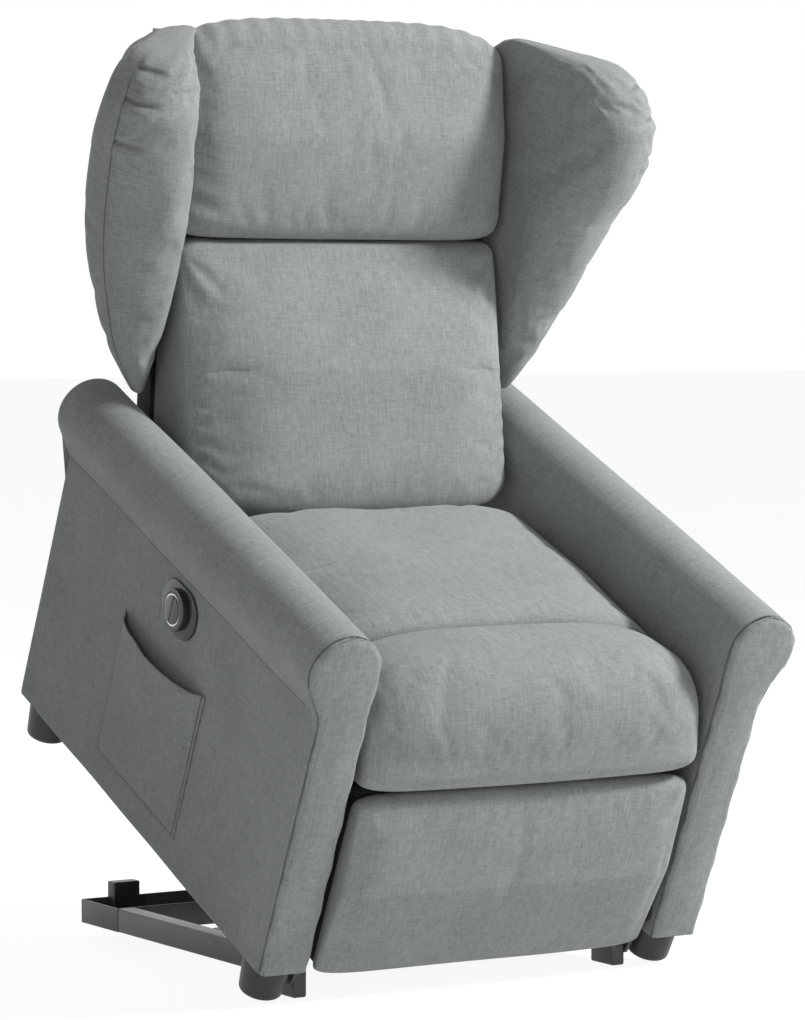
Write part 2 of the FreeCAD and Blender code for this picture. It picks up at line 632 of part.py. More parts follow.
# Arms: side panel, scroll roll, front facing, and the feet they stand on.
def arms():
    scroll = (SIZE["scroll_offset"], SIZE["scroll_height"], SIZE["scroll_radius"])
    inner = SIZE["arm_inner"]
    outer = SIZE["arm_outer"]
    notch = SIZE["notch_height"]
    low = SIZE["foot_height"]
    small = 2
    roll = belt(((inner + small, notch + small, small), (outer - small, notch + small, small), scroll))
    contour = roll[5:]
    notch_point = contour[0][1]
    contour_end = contour[-1][2]
    facing = [("line", (inner, low), (outer, low)), ("line", (outer, low), notch_point)]
    facing += contour
    facing.append(("line", contour_end, (inner, low)))
    for label, side in SIDES:
        mirror = 1 if side > 0 else -1

        def flip(pieces):
            return [(piece[0], *[(mirror * a, b) for a, b in piece[1:]]) for piece in pieces]

        panel = block(f"arm_block_{label}", side_span(side, "arm_inner", "arm_outer"),
                      ("arm_front + facing_thickness", "arm_back"), ("foot_height", "notch_height"))
        node(f"arm_panel_{label}", [panel])
        length = "arm_back - arm_front - facing_thickness"
        start = "arm_front + facing_thickness"
        node(f"arm_roll_{label}", [plate(f"roll_{label}", "xz", start, length, flip(roll))])
        front = plate(f"facing_{label}", "xz", "arm_front", "facing_thickness", flip(facing))
        node(f"arm_facing_{label}", [front])

        for place, y in (("front", "foot_front"), ("rear", "foot_back")):
            name = f"foot_{place}_{label}"
            body = doc.addObject("PartDesign::Body", name + "_body")
            sketch = body.newObject("Sketcher::SketchObject", name + "_sketch")
            origin = [feature for feature in body.Origin.OriginFeatures if feature.Role == "XZ_Plane"][0]
            sketch.AttachmentSupport = [(origin, "")]
            sketch.MapMode = "FlatFace"
            top = SIZE["foot_top_radius"]
            sole = SIZE["foot_sole_radius"]
            tall = SIZE["foot_height"]
            corners = ((0, 0), (sole - 3, 0), (sole, 3), (top, tall - 4), (top, tall), (0, tall))
            for index, corner in enumerate(corners):
                after = corners[(index + 1) % len(corners)]
                sketch.addGeometry(Part.LineSegment(V(*corner, 0), V(*after, 0)), False)
            turned = body.newObject("PartDesign::Revolution", name + "_turned")
            turned.Profile = sketch
            turned.ReferenceAxis = (sketch, ["V_Axis"])
            turned.Angle = 360
            body.Tip = turned
            bind(body, Placement__Base__x=f"{side} * foot_offset", Placement__Base__y=y)
            node(name, [body])


# Side pocket and hand control on the right arm's outer face.
def side_fittings():
    face = -SIZE["arm_outer"]
    foot = SIZE["pocket_foot"]
    low = SIZE["pocket_low"]
    high = SIZE["pocket_high"]
    mouth = SIZE["pocket_mouth"]
    wall = SIZE["pocket_wall"]

    def wedge(name, corners, y, depth):
        pieces = [("line", corners[index], corners[(index + 1) % 4]) for index in range(4)]
        return plate(name, "xz", y, depth, pieces)

    outer = wedge("pocket_outer", ((face, low), (face, high), (face - mouth, high), (face - foot, low)),
                  "pocket_front", "pocket_back - pocket_front")
    hollow = ((face + 1, low + wall), (face + 1, high + 1),
              (face - mouth + wall, high + 1), (face - foot + wall, low + wall))
    inner = wedge("pocket_inner", hollow,
                  "pocket_front + pocket_wall", "pocket_back - pocket_front - 2 * pocket_wall")
    node("side_pocket", [cut("side_pocket", outer, inner)])

    middle = (SIZE["bezel_y"], SIZE["bezel_z"])
    tall = SIZE["bezel_height"] / 2
    spread = SIZE["bezel_length"] / 2 - tall
    oval = belt(((middle[0] - spread, middle[1], tall), (middle[0] + spread, middle[1], tall)))
    base = "arm_outer + bezel_thickness"
    node("control_bezel", [plate("bezel", "yz", f"-({base})", "bezel_thickness", oval)])
    top = f"{base} + boss_height"
    boss = round_bar("boss", "boss_radius", "x", f"-({top})", f"-({base})", "bezel_y", "bezel_z")
    cup = round_bar("boss_cup", "button_radius + 0.4", "x", f"-({top}) - 1", f"-({base}) - 2",
                    "bezel_y", "bezel_z")
    rim = "button_radius + 0.4 + ring_width"
    seat = round_bar("ring_seat", rim, "x", f"-({top}) - 1", f"-({top}) + 1.5", "bezel_y", "bezel_z")
    node("control_boss", [cut("control_boss", boss, cup, seat)])
    ring = round_bar("ring", rim, "x", f"-({top}) - 0.8", f"-({top}) + 1.5", "bezel_y", "bezel_z")
    bore = round_bar("ring_bore", "button_radius + 0.4", "x", f"-({top}) - 2", f"-({top}) + 2",
                     "bezel_y", "bezel_z")
    node("control_ring", [cut("control_ring", ring, bore)])
    for name, lower in (("button_raise", False), ("button_recline", True)):
        disc = round_bar(f"{name}_disc", "button_radius", "x", f"-({top}) - 2.5",
                         f"-({base}) - 2 - button_travel - 0.4", "bezel_y", "bezel_z")
        if lower:
            half = ("bezel_y - button_split / 2", "bezel_y + button_radius + 1")
        else:
            half = ("bezel_y - button_radius - 1", "bezel_y + button_split / 2")
        cutter = block(f"{name}_half", (f"-({top}) - 4", f"-({base})"), half,
                       ("bezel_z - button_radius - 1", "bezel_z + button_radius + 1"))
        node(name, [cut(name, disc, cutter)])


# Seat cushion and front roll.
def seat_cushions():
    top = SIZE["seat_top"]
    seam = SIZE["seat_seam"]
    gap = SIZE["seam_gap"]
    low = SIZE["deck_height"] + SIZE["web_thickness"] + 0.3
    rear = 174
    drop = SIZE["seat_side_drop"]
    seat = ((seam + gap / 2 + 22, low + 22, 22, 0, 0), (rear + 41, low + 20, 20, 0, 0),
            (rear - 20, top - 20, 20, 0, -drop), (-10, top + SIZE["seat_crown"] - 56, 56, 0, -drop),
            (seam + gap / 2 + 22, top - 22, 22, 0, -drop))
    node("seat_cushion", [pillow("seat_cushion", seat, SIZE["seat_half"], 15)])
    front = SIZE["roll_front"]
    roll = ((front + 28, low + 28, 28, 8, 0), (seam - gap / 2 - 20, low + 20, 20, 0, 0),
            (seam - gap / 2 - 20, top - 17, 20, 0, -drop), (front + 80, top - 78, 80, 22, -0.7 * drop))
    node("seat_front_roll", [pillow("seat_front_roll", roll, SIZE["roll_half"], 15)])


# Back: wooden frame, rear cover, hinge brackets, cushions and wings.
def back():
    depth = SIZE["back_frame_depth"]
    skin = SIZE["cover_thickness"]
    lean = SIZE["back_lean"]

    def slab(name, x, up, forward):
        """A board in the plane of the back, between limits up along it and forward of its rear face."""
        board = doc.addObject("Part::Box", name)
        bind(board, Length=f"{x[1]} - ({x[0]})")
        board.Width = forward[1] - forward[0]
        board.Height = up[1] - up[0]
        upright = FreeCAD.Rotation(V(1, 0, 0), -lean)
        board.Placement = FreeCAD.Placement(V(0, *back_point(up[0], forward[1])), upright)
        bind(board, Placement__Base__x=x[0])
        return board

    length = SIZE["back_frame_length"]
    boards = []
    outer = "back_half"
    for label, side in SIDES:
        boards.append(slab(f"upright_{label}", side_span(side, f"{outer} - upright_width", outer), (0, length),
                           (skin, depth)))
    inside = f"({outer} - upright_width - link_thickness)"
    for number, up in enumerate((6, 0.46 * length, length - 50), start=1):
        boards.append(slab(f"back_rail_{number}", (f"-{inside}", inside), (up, up + 44), (skin, depth)))
    node("back_frame", boards)
    node("back_cover", [slab("cover", ("-back_half", "back_half"), (46, length + 34), (0, skin))])

    hinge = (SIZE["recline_y"], SIZE["recline_z"])
    knee = back_point(60, 24)
    tip = back_point(150, 24)
    brackets = []
    for label, side in SIDES:
        low = side_span(side, "back_half - upright_width - link_thickness", "back_half - upright_width")[0]
        hole = SIZE["lift_pin_radius"] + SIZE["pin_play"]
        lower = plate(f"bracket_low_{label}", "yz", low, "link_thickness", belt(((*hinge, 20), (*knee, 12))),
                      [(*hinge, hole)])
        upper = plate(f"bracket_high_{label}", "yz", low, "link_thickness", belt(((*knee, 12), (*tip, 12))))
        brackets.append(fuse(f"bracket_{label}", lower, upper))
    node("recline_brackets", brackets)

    def disc(up, forward, radius, end_y=0, end_z=0):
        """A cushion corner: up the back as a share of its frame, forward of its rear face."""
        return *back_point(up * length, forward), radius, end_y, end_z

    def rest_disc(up, radius, drop=0):
        """A cushion corner that lies against the frame; at its ends it is lower along the frame by drop."""
        return disc(up, depth + 0.3 + radius, radius, -drop * math.tan(math.radians(lean)), -drop)

    draw_back = SIZE["back_side_draw"]
    seam = SIZE["back_seam"]
    reach = SIZE["lumbar_reach"]
    edge = SIZE["cushion_edge"]
    lumbar = (disc(-0.028, reach - 30, 30, draw_back), rest_disc(0.033, edge), rest_disc(seam - 0.048, edge),
              disc(seam - 0.07, 0.447 * reach, 26, 0.2 * draw_back),
              disc(0.246, 0.58 * reach, 60, 0.8 * draw_back, -0.2 * draw_back))
    node("lumbar_cushion", [pillow("lumbar_cushion", lumbar, SIZE["back_half"], 15)])
    top_drop = SIZE["head_corner_drop"]
    reach = SIZE["head_reach"]
    head = (disc(seam + 0.0253, reach - 42, 30, 0.2 * draw_back), rest_disc(seam + 0.045, edge),
            rest_disc(1.037, 22, top_drop), disc(1.0383, reach - 65, 36, -0.25 * top_drop, -top_drop),
            disc(0.818, reach - 55, 55, 0.3 * draw_back))
    node("head_cushion", [pillow("head_cushion", head, SIZE["back_half"], 15)])

    # Each wing section: height above the foot of the back, x, y and radius of its front round,
    # then y and radius of its rear round.
    inner = SIZE["back_half"] + 0.5
    stations = ((147, 308, 364, 9, 436, 11), (170, 313, 370, 20, 438, 18), (210, 322, 379, 35, 446, 24),
                (270, 331, 386, 50, 462, 28), (340, 344, 388, 62, 484, 30), (420, 357, 380, 69, 511, 30),
                (500, 373, 364, 70, 539, 30), (570, 379, 360, 65, 560, 28), (616, 371, 375, 56, 524, 22),
                (638, 364, 384, 46, 498, 16), (649, 360, 390, 32, 480, 9))
    for label, side in SIDES:
        wires = []
        for height, front_x, front_y, front_radius, rear_y, rear_radius in stations:
            discs = ((front_x, front_y, front_radius), (inner + rear_radius, rear_y, rear_radius))
            wires.append(soft_wire(discs, (3 * ARC_STEPS, ARC_STEPS),
                                   lambda x, y: V(side * x, y, SIZE["back_foot_z"] + height)))
        node(f"wing_{label}", [loft_form(f"wing_{label}", wires)])


# Legrest: drive tube, two pairs of parallel arms, carriers and the hinged board.
def legrest():
    front = (SIZE["legrest_arm_y"], SIZE["legrest_arm_z"])
    spread = (SIZE["link_spread"], SIZE["link_spread_angle"])
    rear = polar(*front, *spread)
    arm_end = polar(*front, SIZE["legrest_arm_length"], SIZE["legrest_arm_angle"])
    rear_end = polar(*arm_end, *spread)
    board = (SIZE["board_pivot_y"], SIZE["board_pivot_z"])
    half = SIZE["link_half"]
    step = "(link_thickness + plate_gap)"

    tube = round_bar("drive_tube", "tube_radius", "x", "-mech_outer - 2", "mech_outer + 2",
                     str(front[0]), str(front[1]))
    node("legrest_drive_tube", [tube])
    front_links = []
    rear_links = []
    carriers = []
    pins = []
    ears = []
    for label, side in SIDES:
        low = side_span(side, f"mech_outer - link_thickness - {step}", f"mech_outer - {step}")[0]
        front_links.append(plate(f"front_link_{label}", "yz", low, "link_thickness",
                                 belt(((*front, half + 5), (*arm_end, half))),
                                 [(*front, SIZE["tube_radius"]), (*arm_end, PIN_HOLE)]))
        rear_links.append(plate(f"rear_link_{label}", "yz", low, "link_thickness",
                                belt(((*rear, half), (*rear_end, half))),
                                [(*rear, PIN_HOLE), (*rear_end, PIN_HOLE)]))
        low = side_span(side, f"mech_outer - link_thickness - 2 * {step}", f"mech_outer - 2 * {step}")[0]
        holes = [(*point, SIZE["pin_radius"]) for point in (rear_end, arm_end)]
        lower = plate(f"carrier_rear_{label}", "yz", low, "link_thickness",
                      belt(((*rear_end, half), (*arm_end, half))), holes)
        upper = plate(f"carrier_front_{label}", "yz", low, "link_thickness",
                      belt(((*arm_end, half), (*board, half))), [holes[1], (*board, SIZE["pin_radius"])])
        carriers.append(fuse(f"carrier_{label}", lower, upper))
        short = side_span(side, f"mech_outer - 3 * link_thickness - 2 * plate_gap", f"mech_outer - {step}")
        for number, point in enumerate((rear_end, arm_end), start=1):
            pins.append(round_bar(f"carrier_pin_{number}_{label}", "pin_radius", "x", *short,
                                  str(point[0]), str(point[1])))
        inner = side_span(side, f"mech_outer - 4 * link_thickness - 3 * plate_gap", f"mech_outer - 2 * {step}")
        pins.append(round_bar(f"board_pin_{label}", "pin_radius", "x", *inner, str(board[0]), str(board[1])))
        low = side_span(side, f"mech_outer - link_thickness - 3 * {step}", f"mech_outer - 3 * {step}")[0]
        back_face = SIZE["board_back"]
        discs = ((back_face + 1, board[1] - 26, 1), (*board, half), (back_face + 1, board[1] + 26, 1))
        ears.append(plate(f"board_ear_{label}", "yz", low, "link_thickness", belt(discs), [(*board, PIN_HOLE)]))
    node("legrest_front_links", front_links)
    node("legrest_rear_links", rear_links)
    node("legrest_carriers", carriers)
    node("legrest_pins", pins)
    node("legrest_board_ears", ears)

    panel_top = "deck_height - 8"
    panel = block("legrest_plywood", ("10 - board_half", "board_half - 10"),
                  ("board_back - panel_thickness", "board_back"), ("board_low + 9", panel_top))
    node("legrest_panel", [panel])
    skin = SIZE["board_back"] - SIZE["panel_thickness"] - 0.3
    low = SIZE["board_low"]
    high = SIZE["deck_height"]
    pad = ((skin - 13.4, low + 13.4, 13.4, 0, 3), (skin - 21, high - 21, 21, 0, -3),
           (skin - 24, (low + high) / 2, 24, 0, 0))
    node("legrest_pad", [pillow("legrest_pad", pad, SIZE["board_half"], 11)])


floor_base()
lift_actuator()
lift_pivots()
seat_frame()
arms()
side_fittings()
seat_cushions()
back()
legrest()
doc.recompute()

# The object stands with the middle of its footprint at the origin.
box = FreeCAD.BoundBox()
for group in NODES.values():
    box.add(group.Shape.optimalBoundingBox(False))
shift = round(-(box.YMin + box.YMax) / 2, 3)
sheet.set("B1", str(shift))
doc.recompute()
row_box = (round(box.XLength, 1), round(box.YLength, 1), round(box.ZMin, 2), round(box.ZMax, 1))
print("row shift", shift, "size", *row_box)

faults = [thing.Name for thing in doc.Objects if "Invalid" in thing.State or "Error" in thing.State]
for name, group in NODES.items():
    if group.Shape.isNull() or not group.Shape.isValid() or group.Shape.Volume <= 0:
        faults.append(name)
if faults:
    raise RuntimeError("these failed: " + ", ".join(faults))

os.makedirs("parts", exist_ok=True)
for name, group in NODES.items():
    group.Shape.exportStep(f"parts/{name}.step")
print(len(NODES), "sub-parts written")
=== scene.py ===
"""Lift recliner chair: cloth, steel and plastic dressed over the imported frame.

Every piece of the chair is worked out in millimetres in the level chair's own frame (x to the
right of someone looking at its front, y to the rear, z up from the soles of its feet) and is then
raised on the two front lift pivots, as the frame stands. The floor base needs no such turn.
"""
from __future__ import annotations

import json
import logging
import math
from dataclasses import dataclass, field
from enum import Enum
from typing import Any, Callable, Optional, Sequence, Union

import bmesh
import bpy
import numpy as np
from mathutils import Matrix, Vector

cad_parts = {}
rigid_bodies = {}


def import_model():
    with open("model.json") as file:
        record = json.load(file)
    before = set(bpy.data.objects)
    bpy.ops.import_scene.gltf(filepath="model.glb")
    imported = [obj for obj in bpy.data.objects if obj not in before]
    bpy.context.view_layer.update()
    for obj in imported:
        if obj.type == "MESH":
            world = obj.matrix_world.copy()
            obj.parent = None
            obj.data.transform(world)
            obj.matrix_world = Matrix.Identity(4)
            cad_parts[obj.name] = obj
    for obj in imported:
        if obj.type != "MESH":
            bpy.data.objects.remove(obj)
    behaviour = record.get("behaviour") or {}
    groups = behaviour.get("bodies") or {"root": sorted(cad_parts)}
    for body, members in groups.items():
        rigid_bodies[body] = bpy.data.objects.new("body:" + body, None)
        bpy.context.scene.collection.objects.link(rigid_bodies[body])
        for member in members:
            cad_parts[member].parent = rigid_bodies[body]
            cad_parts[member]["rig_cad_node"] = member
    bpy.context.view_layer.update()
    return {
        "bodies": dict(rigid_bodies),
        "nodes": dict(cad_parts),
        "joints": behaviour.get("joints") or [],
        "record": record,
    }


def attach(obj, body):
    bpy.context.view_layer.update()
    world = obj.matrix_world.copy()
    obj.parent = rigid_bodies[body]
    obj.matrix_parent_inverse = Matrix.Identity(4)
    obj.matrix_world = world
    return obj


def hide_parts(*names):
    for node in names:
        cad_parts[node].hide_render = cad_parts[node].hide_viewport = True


LOG = logging.getLogger("lift_recliner")
Array = np.ndarray
# Distance from any seam that stands for open cloth, and the furthest that the shader is told, in millimetres.
OPEN_CLOTH = 99.0
SEAM_REACH = 30.0


class Side(Enum):
    """The two sides of the chair, named as its parts are: left is +X."""

    LEFT = 1
    RIGHT = -1

    @property
    def word(self) -> str:
        """The side's word in the names of nodes."""
        return self.name.lower()


@dataclass(frozen=True)
class Lift:
    """How the level chair is raised on its front pivots.

    A point turns by the lift angle about the X axis through the pivot of the level chair, which
    then stands on the pivot of the floor base.
    """

    room_pivot: tuple[float, float]
    level_pivot: tuple[float, float] = (-309.1, 81.1)
    degrees: float = 24.41

    def raise_points(self, points: Array) -> Array:
        """Points of the level chair in millimetres as points of the room in metres."""
        turn = math.radians(self.degrees)
        y = points[..., 1] - self.level_pivot[0]
        z = points[..., 2] - self.level_pivot[1]
        raised = np.empty_like(points, dtype=float)
        raised[..., 0] = points[..., 0]
        raised[..., 1] = self.room_pivot[0] + y * math.cos(turn) - z * math.sin(turn)
        raised[..., 2] = self.room_pivot[1] + y * math.sin(turn) + z * math.cos(turn)
        return raised / 1000


# Curves and closed outlines, as whole arrays.


def belt_points(discs: Array, arcs: Sequence[int], lines: Sequence[int]) -> Array:
    """Outline of a belt run tight round discs, for many stations at once.

    Between a disc and the next the belt is their outer tangent, whose normal makes an angle with
    the line of centres of arccos((radius - next radius) / distance). On a disc it is the arc from
    one normal to the next.

    Args:
        discs: stations x discs x (a, b, radius), counter-clockwise.
        arcs: points on each disc's arc.
        lines: points on the straight run after each disc.

    Returns:
        stations x points x 2 array.
    """
    centre = discs[..., :2]
    radius = discs[..., 2]
    step = np.roll(centre, -1, axis=1) - centre
    run = np.linalg.norm(step, axis=2)
    along = step / run[..., None]
    share = np.clip((radius - np.roll(radius, -1, axis=1)) / run, -0.999, 0.999)
    across = np.stack((along[..., 1], -along[..., 0]), axis=2)
    normal = share[..., None] * along + np.sqrt(1 - share**2)[..., None] * across
    leaving = np.arctan2(normal[..., 1], normal[..., 0])
    sweep = np.mod(leaving - np.roll(leaving, 1, axis=1), 2 * math.pi)
    sweep = np.where(sweep > 1.95 * math.pi, 0.0, sweep)
    runs = []
    for disc in range(discs.shape[1]):
        after = (disc + 1) % discs.shape[1]
        share_of_arc = np.linspace(0, 1, arcs[disc], endpoint=False)
        turn = leaving[:, disc, None] - sweep[:, disc, None] * (1 - share_of_arc)
        rim = np.stack((np.cos(turn), np.sin(turn)), axis=2)
        runs.append(centre[:, disc, None] + radius[:, disc, None, None] * rim)
        start = centre[:, disc] + radius[:, disc, None] * normal[:, disc]
        end = centre[:, after] + radius[:, after, None] * normal[:, disc]
        t = np.linspace(0, 1, lines[disc], endpoint=False)[None, :, None]
        runs.append(start[:, None] * (1 - t) + end[:, None] * t)
    return np.concatenate(runs, axis=1)


def even_outline(points: Array, count: int) -> tuple[Array, float]:
    """A closed outline resampled at even steps of its length.

    Args:
        points: corners x 2 array.
        count: how many points come back.

    Returns:
        The count x 2 outline and its whole length.
    """
    closed = np.vstack((points, points[:1]))
    length = np.concatenate(([0.0], np.cumsum(np.linalg.norm(np.diff(closed, axis=0), axis=1))))
    at = np.linspace(0, length[-1], count, endpoint=False)
    even = np.stack([np.interp(at, length, closed[:, axis]) for axis in (0, 1)], axis=1)
    return even, float(length[-1])


def soften(points: Array, spread: float, length: float) -> Array:
    """A closed even outline with its corners rounded: each point becomes the Gaussian mean of its
    neighbours, with spread as the standard deviation in the outline's own units."""
    count = len(points)
    wave = np.fft.fftfreq(count, d=length / count)
    blur = np.exp(-2 * (math.pi * wave * spread) ** 2)
    return np.fft.ifft(np.fft.fft(points, axis=0) * blur[:, None], axis=0).real


def outward(points: Array) -> Array:
    """Unit normals of counter-clockwise closed outlines: each tangent turned back a right angle."""
    tangent = np.roll(points, -1, axis=-2) - np.roll(points, 1, axis=-2)
    normal = np.stack((tangent[..., 1], -tangent[..., 0]), axis=-1)
    return normal / np.maximum(np.linalg.norm(normal, axis=-1, keepdims=True), 1e-9)


def step_up(value: Array, low: float, high: float) -> Array:
    """The smooth step 3t^2 - 2t^3 of a value between low and high."""
    t = np.clip((value - low) / (high - low), 0, 1)
    return t * t * (3 - 2 * t)


def bump(value: Array, middle: float, spread: float) -> Array:
    """The bell exp(-((value - middle) / spread)^2)."""
    return np.exp(-(((value - middle) / spread) ** 2))


def slack(points: Array, seed: int, height: float, wave: float) -> Array:
    """The slow unevenness of stretched cloth: a mean of nine sine waves in fixed directions.

    Args:
        points: any array of points, in millimetres.
        seed: chooses the directions.
        height: about the largest value.
        wave: the shortest wavelength, in millimetres.

    Returns:
        One value for each point.
    """
    draw = np.random.default_rng(seed)
    direction = draw.normal(size=(9, 3))
    direction /= np.linalg.norm(direction, axis=1, keepdims=True)
    size = wave * draw.uniform(1, 2.6, 9)
    phase = draw.uniform(0, 2 * math.pi, 9)
    waves = np.sin(np.tensordot(points, direction.T, axes=1) * (2 * math.pi / size) + phase)
    return height * waves.mean(axis=-1) * 1.6


# Meshes from grids.


@dataclass
class Shell:
    """A closed tube of rings, each with the same even number of points.

    Each end is shut by rings that shrink to a small one, and that one by rows of four-sided faces.

    Attributes:
        rings: rings x points x 3 array, in millimetres of the level chair.
        around: length round the outline for each point, with one more at its end, in millimetres.
        along: length along the tube for each ring, in millimetres.
        seam: distance from the nearest sewn line for each point, in millimetres, below zero on one
            side of a line so that it crosses zero on the line itself.
        fold: 0 on open cloth to 1 at the bottom of a tuck, for each point; the shader paints shade there.
    """

    rings: Array
    around: Array
    along: Array
    seam: Optional[Array] = None
    fold: Optional[Array] = None

    def close_ends(self, dome: float, steps: int = 5) -> None:
        """Shut both ends: each end ring shrinks to its middle, domed outwards by a half ellipse."""
        low = self._lid(self.rings[0], self.rings[1], dome, steps)
        high = self._lid(self.rings[-1], self.rings[-2], dome, steps)
        reach = 20.0 * np.arange(1, steps + 1)
        self.rings = np.concatenate((low[::-1], self.rings, high))
        self.along = np.concatenate((self.along[0] - reach[::-1], self.along, self.along[-1] + reach))
        for name in ("seam", "fold"):
            values = getattr(self, name)
            if values is not None:
                fill = OPEN_CLOTH if name == "seam" else 0.0
                lid = np.full((steps, values.shape[1]), fill)
                setattr(self, name, np.concatenate((lid, values, lid)))

    @staticmethod
    def _lid(ring: Array, inner: Array, dome: float, steps: int) -> Array:
        """Rings that shrink to a ring's middle, each pushed along the tube's end direction."""
        middle = ring.mean(axis=0)
        ahead = middle - inner.mean(axis=0)
        ahead = ahead / max(float(np.linalg.norm(ahead)), 1e-9)
        size = np.linspace(1, 0, steps + 1)[1:]
        size[-1] = 0.02
        rise = dome * np.sqrt(1 - size**2)
        return middle + (ring - middle)[None] * size[:, None, None] + ahead * rise[:, None, None]


@dataclass(frozen=True)
class MeshMaker:
    """Puts arrays into Blender meshes at the origin, in the row frame."""

    lift: Lift

    def shell(self, name: str, form: Shell) -> bpy.types.Object:
        """A closed piece from a shell, with a cloth map in metres and its seams and tucks."""
        count_rings, count_points = form.rings.shape[:2]
        number = np.arange(count_rings * count_points).reshape(count_rings, count_points)
        after = np.roll(number, -1, axis=1)
        quads = np.stack((number[:-1], after[:-1], after[1:], number[1:]), axis=-1).reshape(-1, 4)
        u = np.broadcast_to(form.around, (count_rings, count_points + 1)) / 1000
        v = np.broadcast_to(form.along[:, None], (count_rings, count_points + 1)) / 1000
        maps = np.stack((u, v), axis=-1)
        corners = np.stack((maps[:-1, :-1], maps[:-1, 1:], maps[1:, 1:], maps[1:, :-1]), axis=2)
        low, high = self._ladder(count_points)[:, ::-1], self._ladder(count_points)
        lids = np.concatenate((number[0][low], number[-1][high])).tolist()
        lid_maps = (maps[0][low].reshape(-1, 2), maps[-1][high].reshape(-1, 2))
        mesh = self._mesh(name, self.lift.raise_points(form.rings.reshape(-1, 3)), quads.tolist() + lids,
                          np.concatenate((corners.reshape(-1, 2), *lid_maps)))
        self._mark(mesh, form.seam, form.fold)
        return self._object(name, mesh)

    def patch(self, name: str, front: Array, back: Array, flat: Array, seam: Array) -> bpy.types.Object:
        """A closed pad between two grids of the same size, whose borders meet.

        Args:
            name: the piece's name.
            front: rows x columns x 3 grid of the shown face, in millimetres.
            back: the same for the hidden face.
            flat: rows x columns x 2 cloth map, in millimetres.
            seam: distance from the nearest sewn line on the shown face.

        Returns:
            The piece, in place.
        """
        rows, columns = front.shape[:2]
        number = np.arange(rows * columns).reshape(rows, columns)
        quads = np.stack((number[:-1, :-1], number[:-1, 1:], number[1:, 1:], number[1:, :-1]), axis=-1)
        quads = quads.reshape(-1, 4)
        rim = np.concatenate((number[0, :-1], number[:-1, -1], number[-1, :0:-1], number[:0:-1, 0]))
        other = rim + rows * columns
        wall = np.stack((rim, other, np.roll(other, -1), np.roll(rim, -1)), axis=-1)
        faces = np.concatenate((quads, quads[:, ::-1] + rows * columns, wall))
        points = np.concatenate((front.reshape(-1, 3), back.reshape(-1, 3)))
        maps = np.concatenate((flat.reshape(-1, 2), flat.reshape(-1, 2))) / 1000
        mesh = self._mesh(name, self.lift.raise_points(points), faces.tolist(), maps[faces.reshape(-1)])
        self._mark(mesh, seam, None)
        return self._object(name, mesh)

    @staticmethod
    def _mark(mesh: bpy.types.Mesh, seam: Optional[Array], fold: Optional[Array]) -> None:
        """Keep each point's distance from seams and depth of tuck for the shader.

        Args:
            mesh: the mesh to mark.
            seam: the distance for its first points, from which the shader draws the dark seam line and a band
                of painted shade beside it; the others are open cloth.
            fold: the depth of tuck for its first points, which the shader darkens as painted shade; the
                others have none.
        """
        for word, values, fill in (("seam", seam, OPEN_CLOTH), ("fold", fold, 0.0)):
            flat = np.full(len(mesh.vertices), fill)
            if values is not None:
                flat[: values.size] = values.reshape(-1)
            layer = mesh.attributes.new(word, "FLOAT", "POINT")
            layer.data.foreach_set("value", np.clip(flat, -SEAM_REACH, SEAM_REACH).astype(np.float32))

    @staticmethod
    def _ladder(count: int) -> Array:
        """Four-sided faces that shut a small ring of an even count: point i is joined to its mirror."""
        i = np.arange(count // 2 - 1)
        return np.stack((i, i + 1, count - 2 - i, count - 1 - i), axis=-1)

    @staticmethod
    def _mesh(name: str, points: Array, faces: list[list[int]], maps: Array) -> bpy.types.Mesh:
        """A smooth mesh with its cloth map."""
        mesh = bpy.data.meshes.new(name)
        mesh.from_pydata(points.tolist(), [], faces)
        layer = mesh.uv_layers.new(name="Cloth")
        layer.data.foreach_set("uv", maps.astype(np.float32).reshape(-1))
        mesh.polygons.foreach_set("use_smooth", np.ones(len(mesh.polygons), bool))
        return mesh

    @staticmethod
    def _object(name: str, mesh: bpy.types.Mesh) -> bpy.types.Object:
        """An object at the origin: doubles merged, faces turned outwards."""
        work = bmesh.new()
        work.from_mesh(mesh)
        bmesh.ops.remove_doubles(work, verts=work.verts, dist=1e-5)
        bmesh.ops.recalc_face_normals(work, faces=work.faces)
        work.to_mesh(mesh)
        work.free()
        piece = bpy.data.objects.new(name, mesh)
        bpy.context.scene.collection.objects.link(piece)
        return piece

    @staticmethod
    def eased_copy(name: str, node: bpy.types.Object, width: float) -> bpy.types.Object:
        """A copy of a rigid node with merged faces and edges rounded by a bevel of width metres."""
        work = bmesh.new()
        work.from_mesh(node.data)
        bmesh.ops.remove_doubles(work, verts=work.verts, dist=1e-5)
        bmesh.ops.dissolve_limit(work, angle_limit=math.radians(1), verts=work.verts, edges=work.edges)
        bmesh.ops.recalc_face_normals(work, faces=work.faces)
        mesh = bpy.data.meshes.new(name)
        work.to_mesh(mesh)
        work.free()
        piece = bpy.data.objects.new(name, mesh)
        bpy.context.scene.collection.objects.link(piece)
        rounding = piece.modifiers.new("eased_edges", "BEVEL")
        rounding.width = width
        rounding.segments = 2
        rounding.limit_method = "ANGLE"
        rounding.angle_limit = math.radians(35)
        rounding.harden_normals = True
        mesh.polygons.foreach_set("use_smooth", np.ones(len(mesh.polygons), bool))
        return piece


